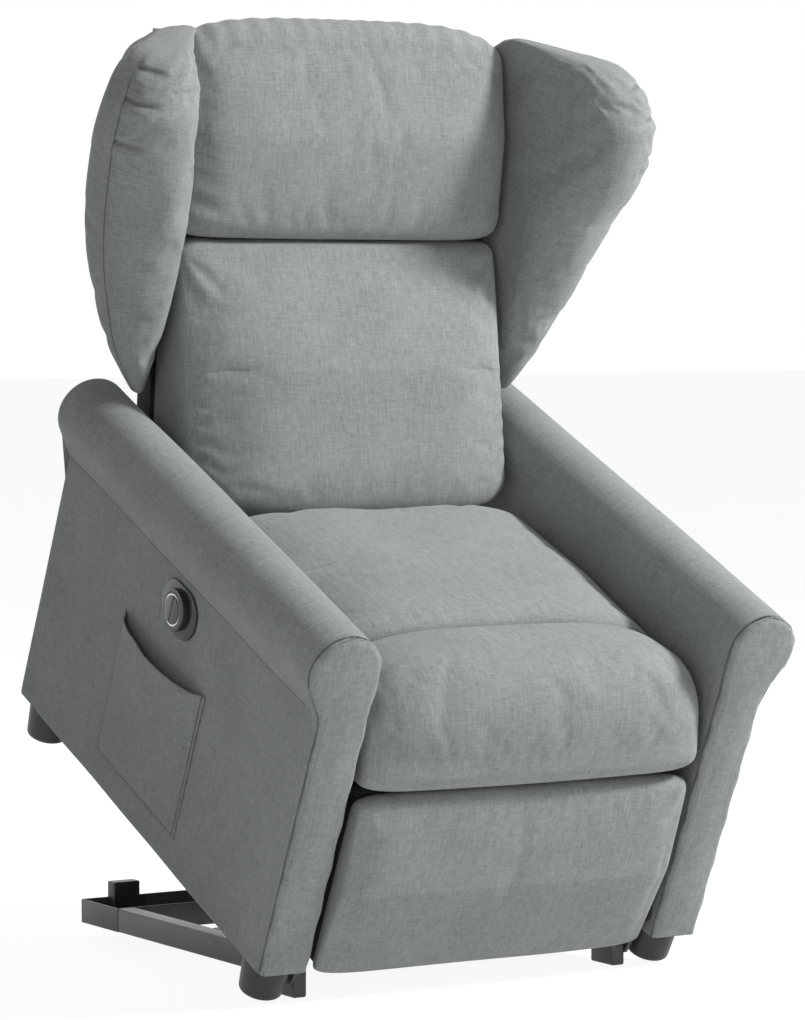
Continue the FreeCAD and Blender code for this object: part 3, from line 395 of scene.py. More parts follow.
@dataclass(frozen=True)
class ClothPlan:
    """How a cover is blown up and wrinkled by cloth simulation.

    Attributes:
        pressure: air pressure inside.
        excess: how much larger the cloth is cut than its form, as a share.
        cap: the furthest that a point may move, in metres.
        frames: how long the cloth settles.
        stiffness: of the cloth against pull and push.
    """

    pressure: float = 3.0
    excess: float = 0.02
    cap: float = 0.008
    frames: int = 20
    stiffness: float = 12.0

    def settle(self, piece: bpy.types.Object, hold: Array) -> None:
        """Run the cloth and keep its result in the mesh.

        Args:
            piece: the cover.
            hold: 0 free to 1 held fast, for each vertex.
        """
        scene = bpy.context.scene
        group = piece.vertex_groups.new(name="hold")
        steps = 20
        level = np.round(np.clip(hold, 0, 1) * steps).astype(int)
        for value in range(1, steps + 1):
            group.add(np.flatnonzero(level == value).tolist(), value / steps, "REPLACE")
        cloth = piece.modifiers.new("cloth", "CLOTH")
        settings = cloth.settings
        settings.quality = 5
        settings.mass = 0.3
        settings.tension_stiffness = self.stiffness
        settings.compression_stiffness = self.stiffness
        settings.shear_stiffness = self.stiffness / 2
        settings.bending_stiffness = 0.4
        settings.air_damping = 2
        settings.use_pressure = True
        settings.uniform_pressure_force = self.pressure
        settings.shrink_min = -self.excess
        settings.vertex_group_mass = "hold"
        settings.pin_stiffness = 1
        settings.effector_weights.gravity = 0
        cloth.collision_settings.use_collision = False
        cloth.point_cache.frame_start = 1
        cloth.point_cache.frame_end = self.frames
        for frame in range(1, self.frames + 1):
            scene.frame_set(frame)
        shown = piece.evaluated_get(bpy.context.evaluated_depsgraph_get())
        count = len(piece.data.vertices)
        before = np.empty(count * 3, np.float32)
        moved = np.empty(count * 3, np.float32)
        piece.data.vertices.foreach_get("co", before)
        shown.data.vertices.foreach_get("co", moved)
        before = before.reshape(-1, 3)
        shift = moved.reshape(-1, 3) - before
        size = np.linalg.norm(shift, axis=1, keepdims=True)
        shift *= self.cap * np.tanh(size / self.cap) / np.maximum(size, 1e-9)
        piece.modifiers.remove(cloth)
        piece.vertex_groups.remove(group)
        piece.data.vertices.foreach_set("co", (before + shift).reshape(-1))
        piece.data.update()
        scene.frame_set(1)
        furthest = 1000 * float(np.linalg.norm(shift, axis=1).max())
        LOG.info("%s: cloth moved it by up to %.1f mm", piece.name, furthest)


# Shader maths.

Input = Union["Num", bpy.types.NodeSocket, float, Sequence[float]]


class NodeBook:
    """The nodes of one material or of the world."""

    def __init__(self, name: str, world: bool = False) -> None:
        """Start an empty material, or an empty world."""
        self.owner = (bpy.data.worlds if world else bpy.data.materials).new(name)
        self.owner.use_nodes = True
        self.tree = self.owner.node_tree
        self.tree.nodes.clear()
        self.output = self.tree.nodes.new("ShaderNodeOutputWorld" if world else "ShaderNodeOutputMaterial")

    def node(self, kind: str, inputs: Optional[dict[Any, Input]] = None,
             **settings: Any) -> bpy.types.Node:
        """A node with its settings set first, then the values or links of its sockets.

        Args:
            kind: the node's type.
            inputs: value or link for each socket, by name or number.
            settings: the node's own properties.

        Returns:
            The new node.
        """
        made = self.tree.nodes.new(kind)
        for key, value in settings.items():
            setattr(made, key, value)
        for key, value in (inputs or {}).items():
            self.feed(made.inputs[key], value)
        return made

    def feed(self, socket: bpy.types.NodeSocket, value: Input) -> None:
        """Give a socket a value or a link."""
        if isinstance(value, Num):
            value = value.socket
        if isinstance(value, bpy.types.NodeSocket):
            self.tree.links.new(value, socket)
        else:
            socket.default_value = value

    def num(self, socket: bpy.types.NodeSocket) -> "Num":
        """A socket that Python's operators work on."""
        return Num(self, socket)

    def noise(self, vector: Input, scale: float, detail: float = 2.0, rough: float = 0.5) -> "Num":
        """A noise texture's value at a vector."""
        made = self.node("ShaderNodeTexNoise",
                         {"Vector": vector, "Scale": scale, "Detail": detail, "Roughness": rough})
        return self.num(made.outputs["Fac"])

    def attribute(self, name: str) -> "Num":
        """A value kept on the mesh's points."""
        return self.num(self.node("ShaderNodeAttribute", attribute_name=name).outputs["Fac"])

    def rays(self, first: str, *others: str) -> "Num":
        """1 for the named kinds of ray, as in Is Camera Ray, and 0 for the rest."""
        path = self.node("ShaderNodeLightPath").outputs
        share = self.num(path[first])
        for other in others:
            share = share.at_least(path[other])
        return share

    def surface(self, shader: bpy.types.NodeSocket) -> None:
        """Link a finished shader to the output."""
        self.tree.links.new(shader, self.output.inputs["Surface"])

    def stretched(self, vector: Input, scale: Sequence[float]) -> bpy.types.NodeSocket:
        """A vector times another, part by part."""
        made = self.node("ShaderNodeVectorMath", {0: vector, 1: scale}, operation="MULTIPLY")
        return made.outputs["Vector"]

    def colour_mix(self, share: Input, first: Input, second: Input) -> bpy.types.NodeSocket:
        """A colour between two others."""
        made = self.node("ShaderNodeMix", {"Factor": share}, data_type="RGBA", clamp_factor=True)
        self.feed(made.inputs[6], first)
        self.feed(made.inputs[7], second)
        return made.outputs[2]

    def bumped(self, height: Input, distance: float, strength: float = 1.0) -> bpy.types.NodeSocket:
        """A normal tipped by a height field; distance in metres is the height of 1."""
        inputs: dict[Any, Input] = {"Height": height, "Distance": distance, "Strength": strength}
        return self.node("ShaderNodeBump", inputs).outputs["Normal"]

    def shade(self, inputs: dict[Any, Input]) -> bpy.types.Material:
        """Finish the material with a Principled shader."""
        self.surface(self.node("ShaderNodeBsdfPrincipled", inputs).outputs["BSDF"])
        return self.owner


class Num:
    """A number that varies over a surface: Python's operators on it add Math nodes."""

    def __init__(self, book: NodeBook, socket: bpy.types.NodeSocket) -> None:
        """Wrap a socket of a material."""
        self.book = book
        self.socket = socket

    def _math(self, operation: str, *values: Input) -> "Num":
        """The result of a Math node on some values."""
        made = self.book.node("ShaderNodeMath", dict(enumerate(values)), operation=operation)
        return Num(self.book, made.outputs[0])

    def __add__(self, other: Input) -> "Num":
        """Sum."""
        return self._math("ADD", self, other)

    def __radd__(self, other: Input) -> "Num":
        """Sum with a plain number first."""
        return self._math("ADD", other, self)

    def __sub__(self, other: Input) -> "Num":
        """Difference."""
        return self._math("SUBTRACT", self, other)

    def __rsub__(self, other: Input) -> "Num":
        """Difference from a plain number."""
        return self._math("SUBTRACT", other, self)

    def __mul__(self, other: Input) -> "Num":
        """Product."""
        return self._math("MULTIPLY", self, other)

    def __rmul__(self, other: Input) -> "Num":
        """Product with a plain number first."""
        return self._math("MULTIPLY", other, self)

    def sine(self) -> "Num":
        """Sine, in radians."""
        return self._math("SINE", self)

    def at_least(self, other: Input) -> "Num":
        """The larger of two values."""
        return self._math("MAXIMUM", self, other)

    def size(self) -> "Num":
        """The number without its sign."""
        return self._math("ABSOLUTE", self)

    def smooth(self, low: float, high: float) -> "Num":
        """The smooth step from 0 at low to 1 at high."""
        made = self.book.node("ShaderNodeMapRange", {"Value": self, "From Min": low, "From Max": high},
                              interpolation_type="SMOOTHSTEP")
        return Num(self.book, made.outputs["Result"])


# Finishes.


@dataclass(frozen=True)
class LinenCloth:
    """Matte upholstery with the look of linen: uneven yarns both ways over a fine plain weave, with painted
    shade beside its seams and in its tucks.
    """

    name: str = "grey_linen_cloth"
    pale: tuple[float, float, float, float] = (0.300, 0.322, 0.314, 1)
    deep: tuple[float, float, float, float] = (0.150, 0.163, 0.159, 1)
    thread: float = 0.0013

    def material(self) -> bpy.types.Material:
        """The cloth, on the piece's own map in metres."""
        book = NodeBook(self.name)
        cloth = book.node("ShaderNodeUVMap", uv_map="Cloth").outputs["UV"]
        parts = book.node("ShaderNodeSeparateXYZ", {0: cloth})
        u, v = book.num(parts.outputs[0]), book.num(parts.outputs[1])
        weft = book.noise(book.stretched(cloth, (75, 520, 1)), 1.0, 2.0, 0.6)
        warp = book.noise(book.stretched(cloth, (560, 85, 1)), 1.0, 2.0, 0.6)
        long_weft = book.noise(book.stretched(cloth, (24, 300, 1)), 1.0, 1.0)
        long_warp = book.noise(book.stretched(cloth, (300, 24, 1)), 1.0, 1.0)
        patchy = book.noise(cloth, 9.0, 3.0)
        turn = 2 * math.pi / self.thread
        yarn = (u * turn).sine() * (v * turn).sine()
        seam = book.attribute("seam").size()
        # Painted shade: the fold attribute darkens the cloth at the bottom of each tuck.
        fold = book.attribute("fold")
        line = 1.0 - seam.smooth(0.5, 1.5)
        # Painted shade: a band a few millimetres wide beside each seam is darkened where its crease would lie
        # in shadow.
        seam_shade = 1.0 - seam.smooth(0.8, 7.0)
        slubs = long_weft * 0.55 + long_warp * 0.45
        tone = weft * 1.05 + warp * 0.85 + slubs + patchy * 0.5 + yarn * 0.04 - 1.22
        colour = book.colour_mix(tone, self.deep, self.pale)
        # The thin seam line is the stitching's own dark joint; the band beside each seam and the bottom of
        # each tuck are painted shade.
        dark = line * 0.62 + seam_shade * 0.07 + fold * 0.5
        colour = book.colour_mix(dark, colour, (0.035, 0.038, 0.037, 1))
        height = weft * 0.5 + warp * 0.45 + yarn * 0.25 - line * 1.2
        return book.shade({"Base Color": colour, "Roughness": 0.93, "Specular IOR Level": 0.22,
                           "Sheen Weight": 0.16, "Sheen Roughness": 0.45,
                           "Normal": book.bumped(height, 0.0006, 0.55)})


@dataclass(frozen=True)
class PowderCoat:
    """Baked paint on steel: a fine orange peel, a few paler scuffs and an even satin."""

    name: str
    colour: tuple[float, float, float, float]
    scuff: tuple[float, float, float, float]
    roughness: float = 0.42

    def material(self) -> bpy.types.Material:
        """The paint, on the object's own coordinates."""
        book = NodeBook(self.name)
        place = book.node("ShaderNodeTexCoord").outputs["Object"]
        peel = book.noise(place, 900.0, 2.0)
        grime = book.noise(place, 14.0, 4.0, 0.6)
        scuffs = book.noise(book.stretched(place, (60, 18, 60)), 1.0, 5.0, 0.7).smooth(0.60, 0.72)
        colour = book.colour_mix(scuffs * 0.35, self.colour, self.scuff)
        rough = grime * 0.18 + (self.roughness - 0.07) + scuffs * 0.08
        return book.shade({"Base Color": colour, "Roughness": rough, "Metallic": 0.35,
                           "Normal": book.bumped(peel, 0.00025, 0.35)})


@dataclass(frozen=True)
class MouldedPlastic:
    """Moulded plastic: an even spark-eroded grain, with faint flow marks in its gloss."""

    name: str
    colour: tuple[float, float, float, float]
    roughness: float
    grain: float

    def material(self) -> bpy.types.Material:
        """The plastic, on the object's own coordinates."""
        book = NodeBook(self.name)
        place = book.node("ShaderNodeTexCoord").outputs["Object"]
        pits = book.noise(place, 1600.0, 3.0, 0.7)
        flow = book.noise(place, 26.0, 2.0)
        paler = tuple(min(1.0, 1.7 * part + 0.006) for part in self.colour[:3]) + (1.0,)
        colour = book.colour_mix(flow * 0.5 + pits * 0.2 - 0.15, self.colour, paler)
        return book.shade({"Base Color": colour, "Roughness": flow * 0.12 + (self.roughness - 0.06),
                           "Normal": book.bumped(pits, 0.0002 * self.grain, 0.5)})


@dataclass(frozen=True)
class BareMetal:
    """Plated or polished metal with fine drawn lines along X."""

    name: str
    colour: tuple[float, float, float, float]
    roughness: float

    def material(self) -> bpy.types.Material:
        """The metal, on the object's own coordinates."""
        book = NodeBook(self.name)
        place = book.node("ShaderNodeTexCoord").outputs["Object"]
        lines = book.noise(book.stretched(place, (40, 2400, 2400)), 1.0, 2.0)
        dull = book.noise(place, 40.0, 3.0)
        colour = book.colour_mix(dull, self.colour, tuple(0.8 * part for part in self.colour[:3]) + (1.0,))
        return book.shade({"Base Color": colour, "Metallic": 1.0, "Roughness": lines * 0.12 + dull * 0.1
                           + (self.roughness - 0.1), "Normal": book.bumped(lines, 0.0001, 0.2)})


@dataclass(frozen=True)
class LiningCloth:
    """Dark unwoven lining stapled over the wooden frames: short fibres pressed every way."""

    name: str = "dark_lining"
    deep: tuple[float, float, float, float] = (0.012, 0.0125, 0.0125, 1)
    pale: tuple[float, float, float, float] = (0.036, 0.038, 0.038, 1)

    def material(self) -> bpy.types.Material:
        """The lining, on the object's own coordinates."""
        book = NodeBook(self.name)
        place = book.node("ShaderNodeTexCoord").outputs["Object"]
        fibres = book.noise(place, 420.0, 5.0, 0.75)
        dimples = book.noise(place, 160.0, 1.0)
        crumple = book.noise(place, 12.0, 4.0, 0.6)
        colour = book.colour_mix(fibres * 0.7 + crumple * 0.5 - 0.2, self.deep, self.pale)
        return book.shade({"Base Color": colour, "Roughness": 0.9, "Sheen Weight": 0.1,
                           "Normal": book.bumped(dimples * 0.4 + crumple * 2.0, 0.002, 0.5)})


@dataclass(frozen=True)
class ElasticWebbing:
    """Black seat webbing: herringbone yarns with two paler guide stripes."""

    name: str = "seat_webbing_black"

    def material(self) -> bpy.types.Material:
        """The webbing, on the object's own coordinates; its bands run along Y."""
        book = NodeBook(self.name)
        place = book.node("ShaderNodeTexCoord").outputs["Object"]
        parts = book.node("ShaderNodeSeparateXYZ", {0: place})
        x, y = book.num(parts.outputs[0]), book.num(parts.outputs[1])
        twill = (x * 2600.0 + y * 1700.0).sine() * 0.5 + 0.5
        ribs = (y * 2100.0).sine() * 0.5 + 0.5
        stripe = (x * (2 * math.pi / 0.025)).sine().smooth(0.9, 0.97)
        colour = book.colour_mix(twill * 0.5 + ribs * 0.3, (0.012, 0.012, 0.013, 1), (0.055, 0.055, 0.058, 1))
        colour = book.colour_mix(stripe * 0.7, colour, (0.35, 0.33, 0.28, 1))
        return book.shade({"Base Color": colour, "Roughness": 0.85,
                           "Normal": book.bumped(twill + ribs, 0.0004, 0.6)})


@dataclass
class Finishes:
    """Every finish of the chair, made once, and which of the record's slots each one dresses."""

    made: dict[str, bpy.types.Material] = field(default_factory=dict)

    def make(self) -> None:
        """Make the materials, by slot."""
        cloth = LinenCloth().material()
        gunmetal = PowderCoat("gunmetal_coat", (0.060, 0.064, 0.068, 1), (0.20, 0.205, 0.21, 1))
        black = PowderCoat("black_coat", (0.016, 0.016, 0.017, 1), (0.09, 0.09, 0.09, 1), 0.5)
        gloss = MouldedPlastic("control_moulding", (0.020, 0.017, 0.018, 1), 0.22, 0.15)
        button = MouldedPlastic("button_moulding", (0.055, 0.052, 0.053, 1), 0.30, 0.3)
        matt = MouldedPlastic("black_moulding", (0.010, 0.010, 0.0105, 1), 0.46, 1.0)
        motor = MouldedPlastic("motor_moulding", (0.022, 0.022, 0.024, 1), 0.38, 0.7)
        self.made = {
            "fabric": cloth,
            "webbing": ElasticWebbing().material(),
            "lining": LiningCloth().material(),
            "base_steel": gunmetal.material(),
            "mechanism_steel": black.material(),
            "pin_steel": BareMetal("zinc_plate", (0.62, 0.63, 0.64, 1), 0.34).material(),
            "black_plastic": matt.material(),
            "motor_plastic": motor.material(),
            "control_gloss": gloss.material(),
            "bright_ring": BareMetal("bright_rim", (0.80, 0.80, 0.81, 1), 0.18).material(),
            "button_plastic": button.material(),
        }

    def dress(self, piece: bpy.types.Object, slot: str) -> None:
        """Give a piece or a node its finish."""
        piece.data.materials.clear()
        piece.data.materials.append(self.made[slot])
        "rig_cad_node" not in piece


@dataclass
class Workshop:
    """What every sub-assembly needs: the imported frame, the lift, the mesh maker and the finishes."""

    nodes: dict[str, bpy.types.Object]
    lift: Lift
    maker: MeshMaker
    finishes: Finishes

    def seat_piece(self, piece: bpy.types.Object, body: str, slot: str, *nodes: str,
                   fill: Optional[float] = None) -> bpy.types.Object:
        """Finish a piece: its material, the body it rides on, and the nodes that it stands for.

        Args:
            piece: the piece, in place.
            body: the body that carries it.
            slot: the record's material slot.
            nodes: the nodes that it replaces.
            fill: how full a padded piece is, where it is one; not used.
        """
        self.finishes.dress(piece, slot)
        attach(piece, body)
        if nodes:
            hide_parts(*nodes)
        LOG.info("%s rides on %s", piece.name, body)
        return piece

    def upholster(self, name: str, form: Shell, dome: float, plan: "ClothPlan",
                  hold: Callable[[Array, Array], Array], body: str, node: str, fill: float = 0.7) -> None:
        """Make a stuffed piece: its ends closed, its cloth settled, its grid made finer.

        Args:
            name: the piece's name.
            form: its rings.
            dome: how far its ends swell.
            plan: how its cloth settles.
            hold: gives how fast each point is held, from its place in the level chair and its
                distance from the seams.
            body: the body that carries it.
            node: the node that it stands for.
            fill: how full it is.
        """
        form.close_ends(dome)
        piece = self.maker.shell(name, form)
        plan.settle(piece, hold(*hold_of(piece, self.lift)))
        finer = piece.modifiers.new("finer", "SUBSURF")
        finer.levels = 1
        finer.render_levels = 1
        self.seat_piece(piece, body, "fabric", node, fill=fill)


def hold_of(piece: bpy.types.Object, lift: Lift) -> tuple[Array, Array]:
    """A piece's points in the level chair's frame and the distance from its seams, in millimetres."""
    count = len(piece.data.vertices)
    flat = np.empty(count * 3, np.float32)
    piece.data.vertices.foreach_get("co", flat)
    room = flat.reshape(-1, 3).astype(float) * 1000
    turn = math.radians(lift.degrees)
    y, z = room[:, 1] - lift.room_pivot[0], room[:, 2] - lift.room_pivot[1]
    level = np.stack((room[:, 0], lift.level_pivot[0] + y * math.cos(turn) + z * math.sin(turn),
                      lift.level_pivot[1] - y * math.sin(turn) + z * math.cos(turn)), axis=1)
    seam = np.empty(count, np.float32)
    piece.data.attributes["seam"].data.foreach_get("value", seam)
    return level, seam


# Cushions.


@dataclass(frozen=True)
class Cushion:
    """A crowned cushion whose side outline is a belt round discs.

    Attributes:
        discs: y, z and radius of each corner, and how far it moves along y and z towards the ends.
        half_width: from the middle to each end.
        draw: how far the outline draws in at the ends.
        steps: spacing of the grid along both ways, in millimetres.
    """

    discs: tuple[tuple[float, float, float, float, float], ...]
    half_width: float
    draw: float
    steps: float = 8.0

    def shell(self) -> Shell:
        """The cushion's rings, from one end to the other.

        Towards the ends each disc moves by its share of the fourth power, and the outline draws in
        by draw times 1 - sqrt(1 - share^12), a rounded edge.
        """
        table = np.array(self.discs)
        count = max(12, int(round(2 * self.half_width / self.steps)))
        s = np.linspace(-1, 1, count + 1)
        share = np.sign(s) * (1 - (1 - np.abs(s)) ** 1.25)
        moved = (share**4)[:, None]
        inset = self.draw * (1 - np.sqrt(np.maximum(0, 1 - 0.97 * np.abs(share) ** 12)))
        y = table[None, :, 0] + moved * table[None, :, 3]
        z = table[None, :, 1] + moved * table[None, :, 4]
        radius = table[None, :, 2] - inset[:, None]
        discs = np.stack((y, z, np.broadcast_to(radius, y.shape)), axis=2)
        gap = np.linalg.norm(np.roll(table[:, :2], -1, axis=0) - table[:, :2], axis=1)
        lines = [max(2, int(round(length / self.steps))) for length in gap]
        arcs = [max(6, int(round(1.6 * radius / self.steps))) for radius in table[:, 2]]
        lines[0] += (sum(arcs) + sum(lines)) % 2
        outline = belt_points(discs, arcs, lines)
        x = np.broadcast_to((share * self.half_width)[:, None, None], outline.shape[:2] + (1,))
        middle = outline[count // 2]
        steps = np.linalg.norm(np.roll(middle, -1, axis=0) - middle, axis=1)
        around = np.concatenate(([0.0], np.cumsum(steps)))
        return Shell(np.concatenate((x, outline), axis=2), around, share * self.half_width)


def push(form: Shell, amount: Array, plane: slice = slice(1, 3)) -> None:
    """Move each point of a shell's rings outwards by an amount, along the ring's own normal.

    Args:
        form: the shell, changed in place.
        amount: how far, for each point.
        plane: the two axes that the rings lie in, y and z unless stated.
    """
    flat = form.rings[..., plane]
    normal = outward(flat)
    centre = flat.mean(axis=1, keepdims=True)
    facing = np.sign(np.sum((flat - centre) * normal, axis=(1, 2)))[:, None, None]
    form.rings[..., plane] = flat + normal * facing * amount[..., None]


@dataclass
class SeatCushions:
    """The seat cushion and the front roll that it is sewn to, with the crease between them.

    Attributes:
        seam_y: where the two meet.
        front: the roll's front.
        low, top: underside and top of both.
        drop: how much lower their tops are at the arms.
        seat_half, roll_half: half the width of each.
        edge_draw: how far the outlines draw in at the ends.
        dome: how far the ends swell.
    """

    shop: Workshop
    seam_y: float = -191.0
    front: float = -366.0
    low: float = 325.3
    top: float = 490.0
    drop: float = 44.0
    seat_half: float = 278.0
    roll_half: float = 267.0
    edge_draw: float = 15.0
    dome: float = 3.0

    def build(self) -> None:
        """Make both cushions."""
        low, top, drop = self.low, self.top, self.drop
        behind, ahead = self.seam_y + 22.7, self.seam_y - 20.7
        seat = Cushion(((behind, low + 22, 22, 0, 0), (215, low + 20, 20, 0, 0),
                        (154, top - 20, 20, 0, -drop), (-10, top - 50, 56, 0, -drop),
                        (behind, top - 22, 22, 0, -drop)),
                       self.seat_half, self.edge_draw)
        roll = Cushion(((self.front + 28, low + 28, 28, 8, 0), (ahead, low + 20, 20, 0, 0),
                        (ahead, top - 17, 20, 0, -drop), (self.front + 80, top - 78, 80, 22, -0.7 * drop)),
                       self.roll_half, self.edge_draw)
        plan = ClothPlan(2.2, 0.012, 0.006)
        for name, node, cushion, fill, seed in (("seat_cushion_cover", "seat_cushion", seat, 0.7, 11),
                                                ("front_roll_cover", "seat_front_roll", roll, 0.75, 12)):
            form = cushion.shell()
            self._dress(form, seed)
            self.shop.upholster(name, form, self.dome, plan, self._hold, "chair", node, fill)

    def _dress(self, form: Shell, seed: int) -> None:
        """Sewn line where the two cushions meet, and the slow unevenness of a used seat."""
        points = form.rings
        near = np.abs(points[..., 1] - self.seam_y)
        form.seam = np.where(points[..., 2] > 400, np.maximum(near - 0.9, 0), OPEN_CLOTH)
        push(form, slack(points, seed, 1.3, 120) * step_up(near, 4, 40))

    def _hold(self, level: Array, _: Array) -> Array:
        """Only the top may swell: the cloth is held at the seam, under the seat and at the arms."""
        upper = step_up(level[:, 2], 350, 400)
        off_seam = step_up(np.abs(level[:, 1] - self.seam_y), 2, 30)
        off_arms = 1 - step_up(np.abs(level[:, 0]), 240, 262)
        return 1 - upper * off_seam * off_arms


@dataclass
class BackCushions:
    """Lumbar and head cushions in front of the back frame, and the cloth behind it.

    Attributes:
        half: half the width of both cushions.
        foot: y and z of the lower end of the back's rear face.
        lean: of the rear face, in degrees.
        draw_back: how far the cushions draw back at their sides.
        drop: how much lower the head cushion is at its corners.
        edge_draw: how far the outlines draw in at the ends.
        dome: how far the ends swell.
        crown: height of the lumbar cushion's upper corners, where its folds start.
        crease: height of the crease between the cushions.
        cloth_low, cloth_high: lower and upper edge of the rear cloth, along the back.
    """

    shop: Workshop
    half: float = 263.5
    foot: tuple[float, float] = (400.0, 430.0)
    lean: float = 18.86
    draw_back: float = 48.0
    drop: float = 26.0
    edge_draw: float = 15.0
    dome: float = 2.0
    crown: float = 775.0
    crease: float = 789.0
    cloth_low: float = 46.0
    cloth_high: float = 634.0

    def frame_point(self, up: float, forward: float) -> tuple[float, float]:
        """A point of the back: up along its rear face and forward of it."""
        lean = math.radians(self.lean)
        return (self.foot[0] + up * math.sin(lean) - forward * math.cos(lean),
                self.foot[1] + up * math.cos(lean) + forward * math.sin(lean))

    def rest(self, up: float, radius: float, drop: float = 0.0) -> tuple[float, float, float, float, float]:
        """A cushion corner against the frame, lower along it by drop at its ends."""
        back_drift = -drop * math.tan(math.radians(self.lean))
        return (*self.frame_point(up, 40.3 + radius), radius, back_drift, -drop)

    def build(self) -> None:
        """Make the cushions and the rear cloth."""
        draw, drop = self.draw_back, self.drop
        lumbar = Cushion(((208, 478, 30, draw, 0), self.rest(20, 20), self.rest(330, 20),
                          (406, 763, 26, 0.2 * draw, 0), (323, 612, 60, 0.8 * draw, -0.2 * draw)),
                         self.half, self.edge_draw)
        head = Cushion(((421, 818, 30, 0.2 * draw, 0), self.rest(386, 20), self.rest(622, 22, drop),
                        (524, 1046, 36, -0.25 * drop, -drop), (472, 924, 55, 0.3 * draw, 0)),
                       self.half, self.edge_draw)
        plan = ClothPlan(2.4, 0.016, 0.008)
        for node, cushion, pucker, span in (("lumbar_cushion", lumbar, self._pucker_lumbar, (478, 775)),
                                            ("head_cushion", head, self._pucker_head, (800, 1060))):
            form = cushion.shell()
            pucker(form)
            self.shop.upholster(node + "_cover", form, self.dome, plan, self._holder(*span), "back", node)
        self._rear_cloth()

    def _pucker_lumbar(self, form: Shell) -> None:
        """Folds that fan out from the upper corners, and tucks down both side seams.

        A fold is a ridge sin(k * angle) round its corner times a bell of the distance from it.
        """
        x, y, z = (form.rings[..., axis] for axis in range(3))
        front = step_up(self.frame_depth(y, z), 60, 90)
        amount = slack(form.rings, 21, 1.4, 130) * front
        for side in (-1, 1):
            away = np.hypot(x - side * self.half, z - self.crown)
            angle = np.arctan2(self.crown - z, np.abs(side * self.half - x) + 1e-6)
            amount += 2.0 * np.sin(angle * 9 + side) * bump(away, 45, 38) * front
            edge = np.abs(side * self.half - x)
            ripple = np.sin(z * (2 * math.pi / 23)) * bump(z, 560, 70)
            amount += 2.4 * ripple * bump(edge, 6, 16) * front
        push(form, amount)
        form.seam = np.where(front > 0.2, np.maximum(np.abs(z - self.crease) - 1, 0) + 4, OPEN_CLOTH)

    def _pucker_head(self, form: Shell) -> None:
        """Small gathers along the top seam and soft folds near the lower left corner."""
        x, y, z = (form.rings[..., axis] for axis in range(3))
        front = step_up(self.frame_depth(y, z), 60, 90)
        top = 1082 - 26 * (np.abs(x) / self.half) ** 4
        gathers = np.sin(x * (2 * math.pi / 31) + 2 * np.sin(x / 47)) * bump(z, top - 4, 15)
        amount = slack(form.rings, 22, 1.4, 130) * front + 1.3 * gathers
        for side in (-1, 1):
            fold = np.sin((z - 790) * (2 * math.pi / 34) + np.abs(side * self.half - x) / 30)
            near = bump(np.abs(side * self.half - x), 20, 55) * bump(z, 835, 40)
            amount += 1.7 * fold * near * front
        push(form, amount)

    def frame_depth(self, y: Array, z: Array) -> Array:
        """How far forward of the back's rear face each point lies."""
        lean = math.radians(self.lean)
        return -(y - self.foot[0]) * math.cos(lean) + (z - self.foot[1]) * math.sin(lean)

    def _holder(self, low: float, high: float) -> Callable[[Array, Array], Array]:
        """What holds a cushion's cloth: the frame, the seams at both heights and the sides."""

        def hold(level: Array, _: Array) -> Array:
            height = level[:, 2]
            front = step_up(self.frame_depth(level[:, 1], height), 62, 92)
            inside = step_up(height, low - 10, low + 30) * (1 - step_up(height, high - 28, high + 4))
            sides = 1 - step_up(np.abs(level[:, 0]), 238, 258)
            return 1 - front * inside * sides

        return hold

    def _rear_cloth(self) -> None:
        """The cloth stretched over the rear of the back frame: a flat pad, drawn in at its edges.

        Its depth is 3 mm times 1 - (1 - d / 12)^2, with d the distance from the nearest edge.
        """
        low, high = self.cloth_low, self.cloth_high
        up = np.linspace(low, high, 75)
        x = np.linspace(-self.half, self.half, 67)
        grid_x, grid_up = np.meshgrid(x, up)
        edge = np.minimum(self.half - np.abs(grid_x), np.minimum(grid_up - low, high - grid_up))
        swell = 1 - np.clip(1 - edge / 12, 0, 1) ** 2
        lean = math.radians(self.lean)

        def layer(forward: Array) -> Array:
            y = self.foot[0] + grid_up * math.sin(lean) - forward * math.cos(lean)
            z = self.foot[1] + grid_up * math.cos(lean) + forward * math.sin(lean)
            return np.stack((grid_x, y, z), axis=2)

        ripple = slack(np.stack((grid_x, grid_up, 0 * grid_x), axis=2), 24, 0.8, 160)
        outer = layer(1.4 - 2.6 * swell - ripple * swell)
        hem = np.minimum(np.abs(grid_up - 70), np.abs(np.abs(grid_x) - (self.half - 14)))
        piece = self.shop.maker.patch("back_cloth", outer, layer(np.full_like(grid_x, 2.8)),
                                      np.stack((grid_x, grid_up), axis=2), hem)
        self.shop.seat_piece(piece, "back", "fabric", "back_cover", fill=0.3)


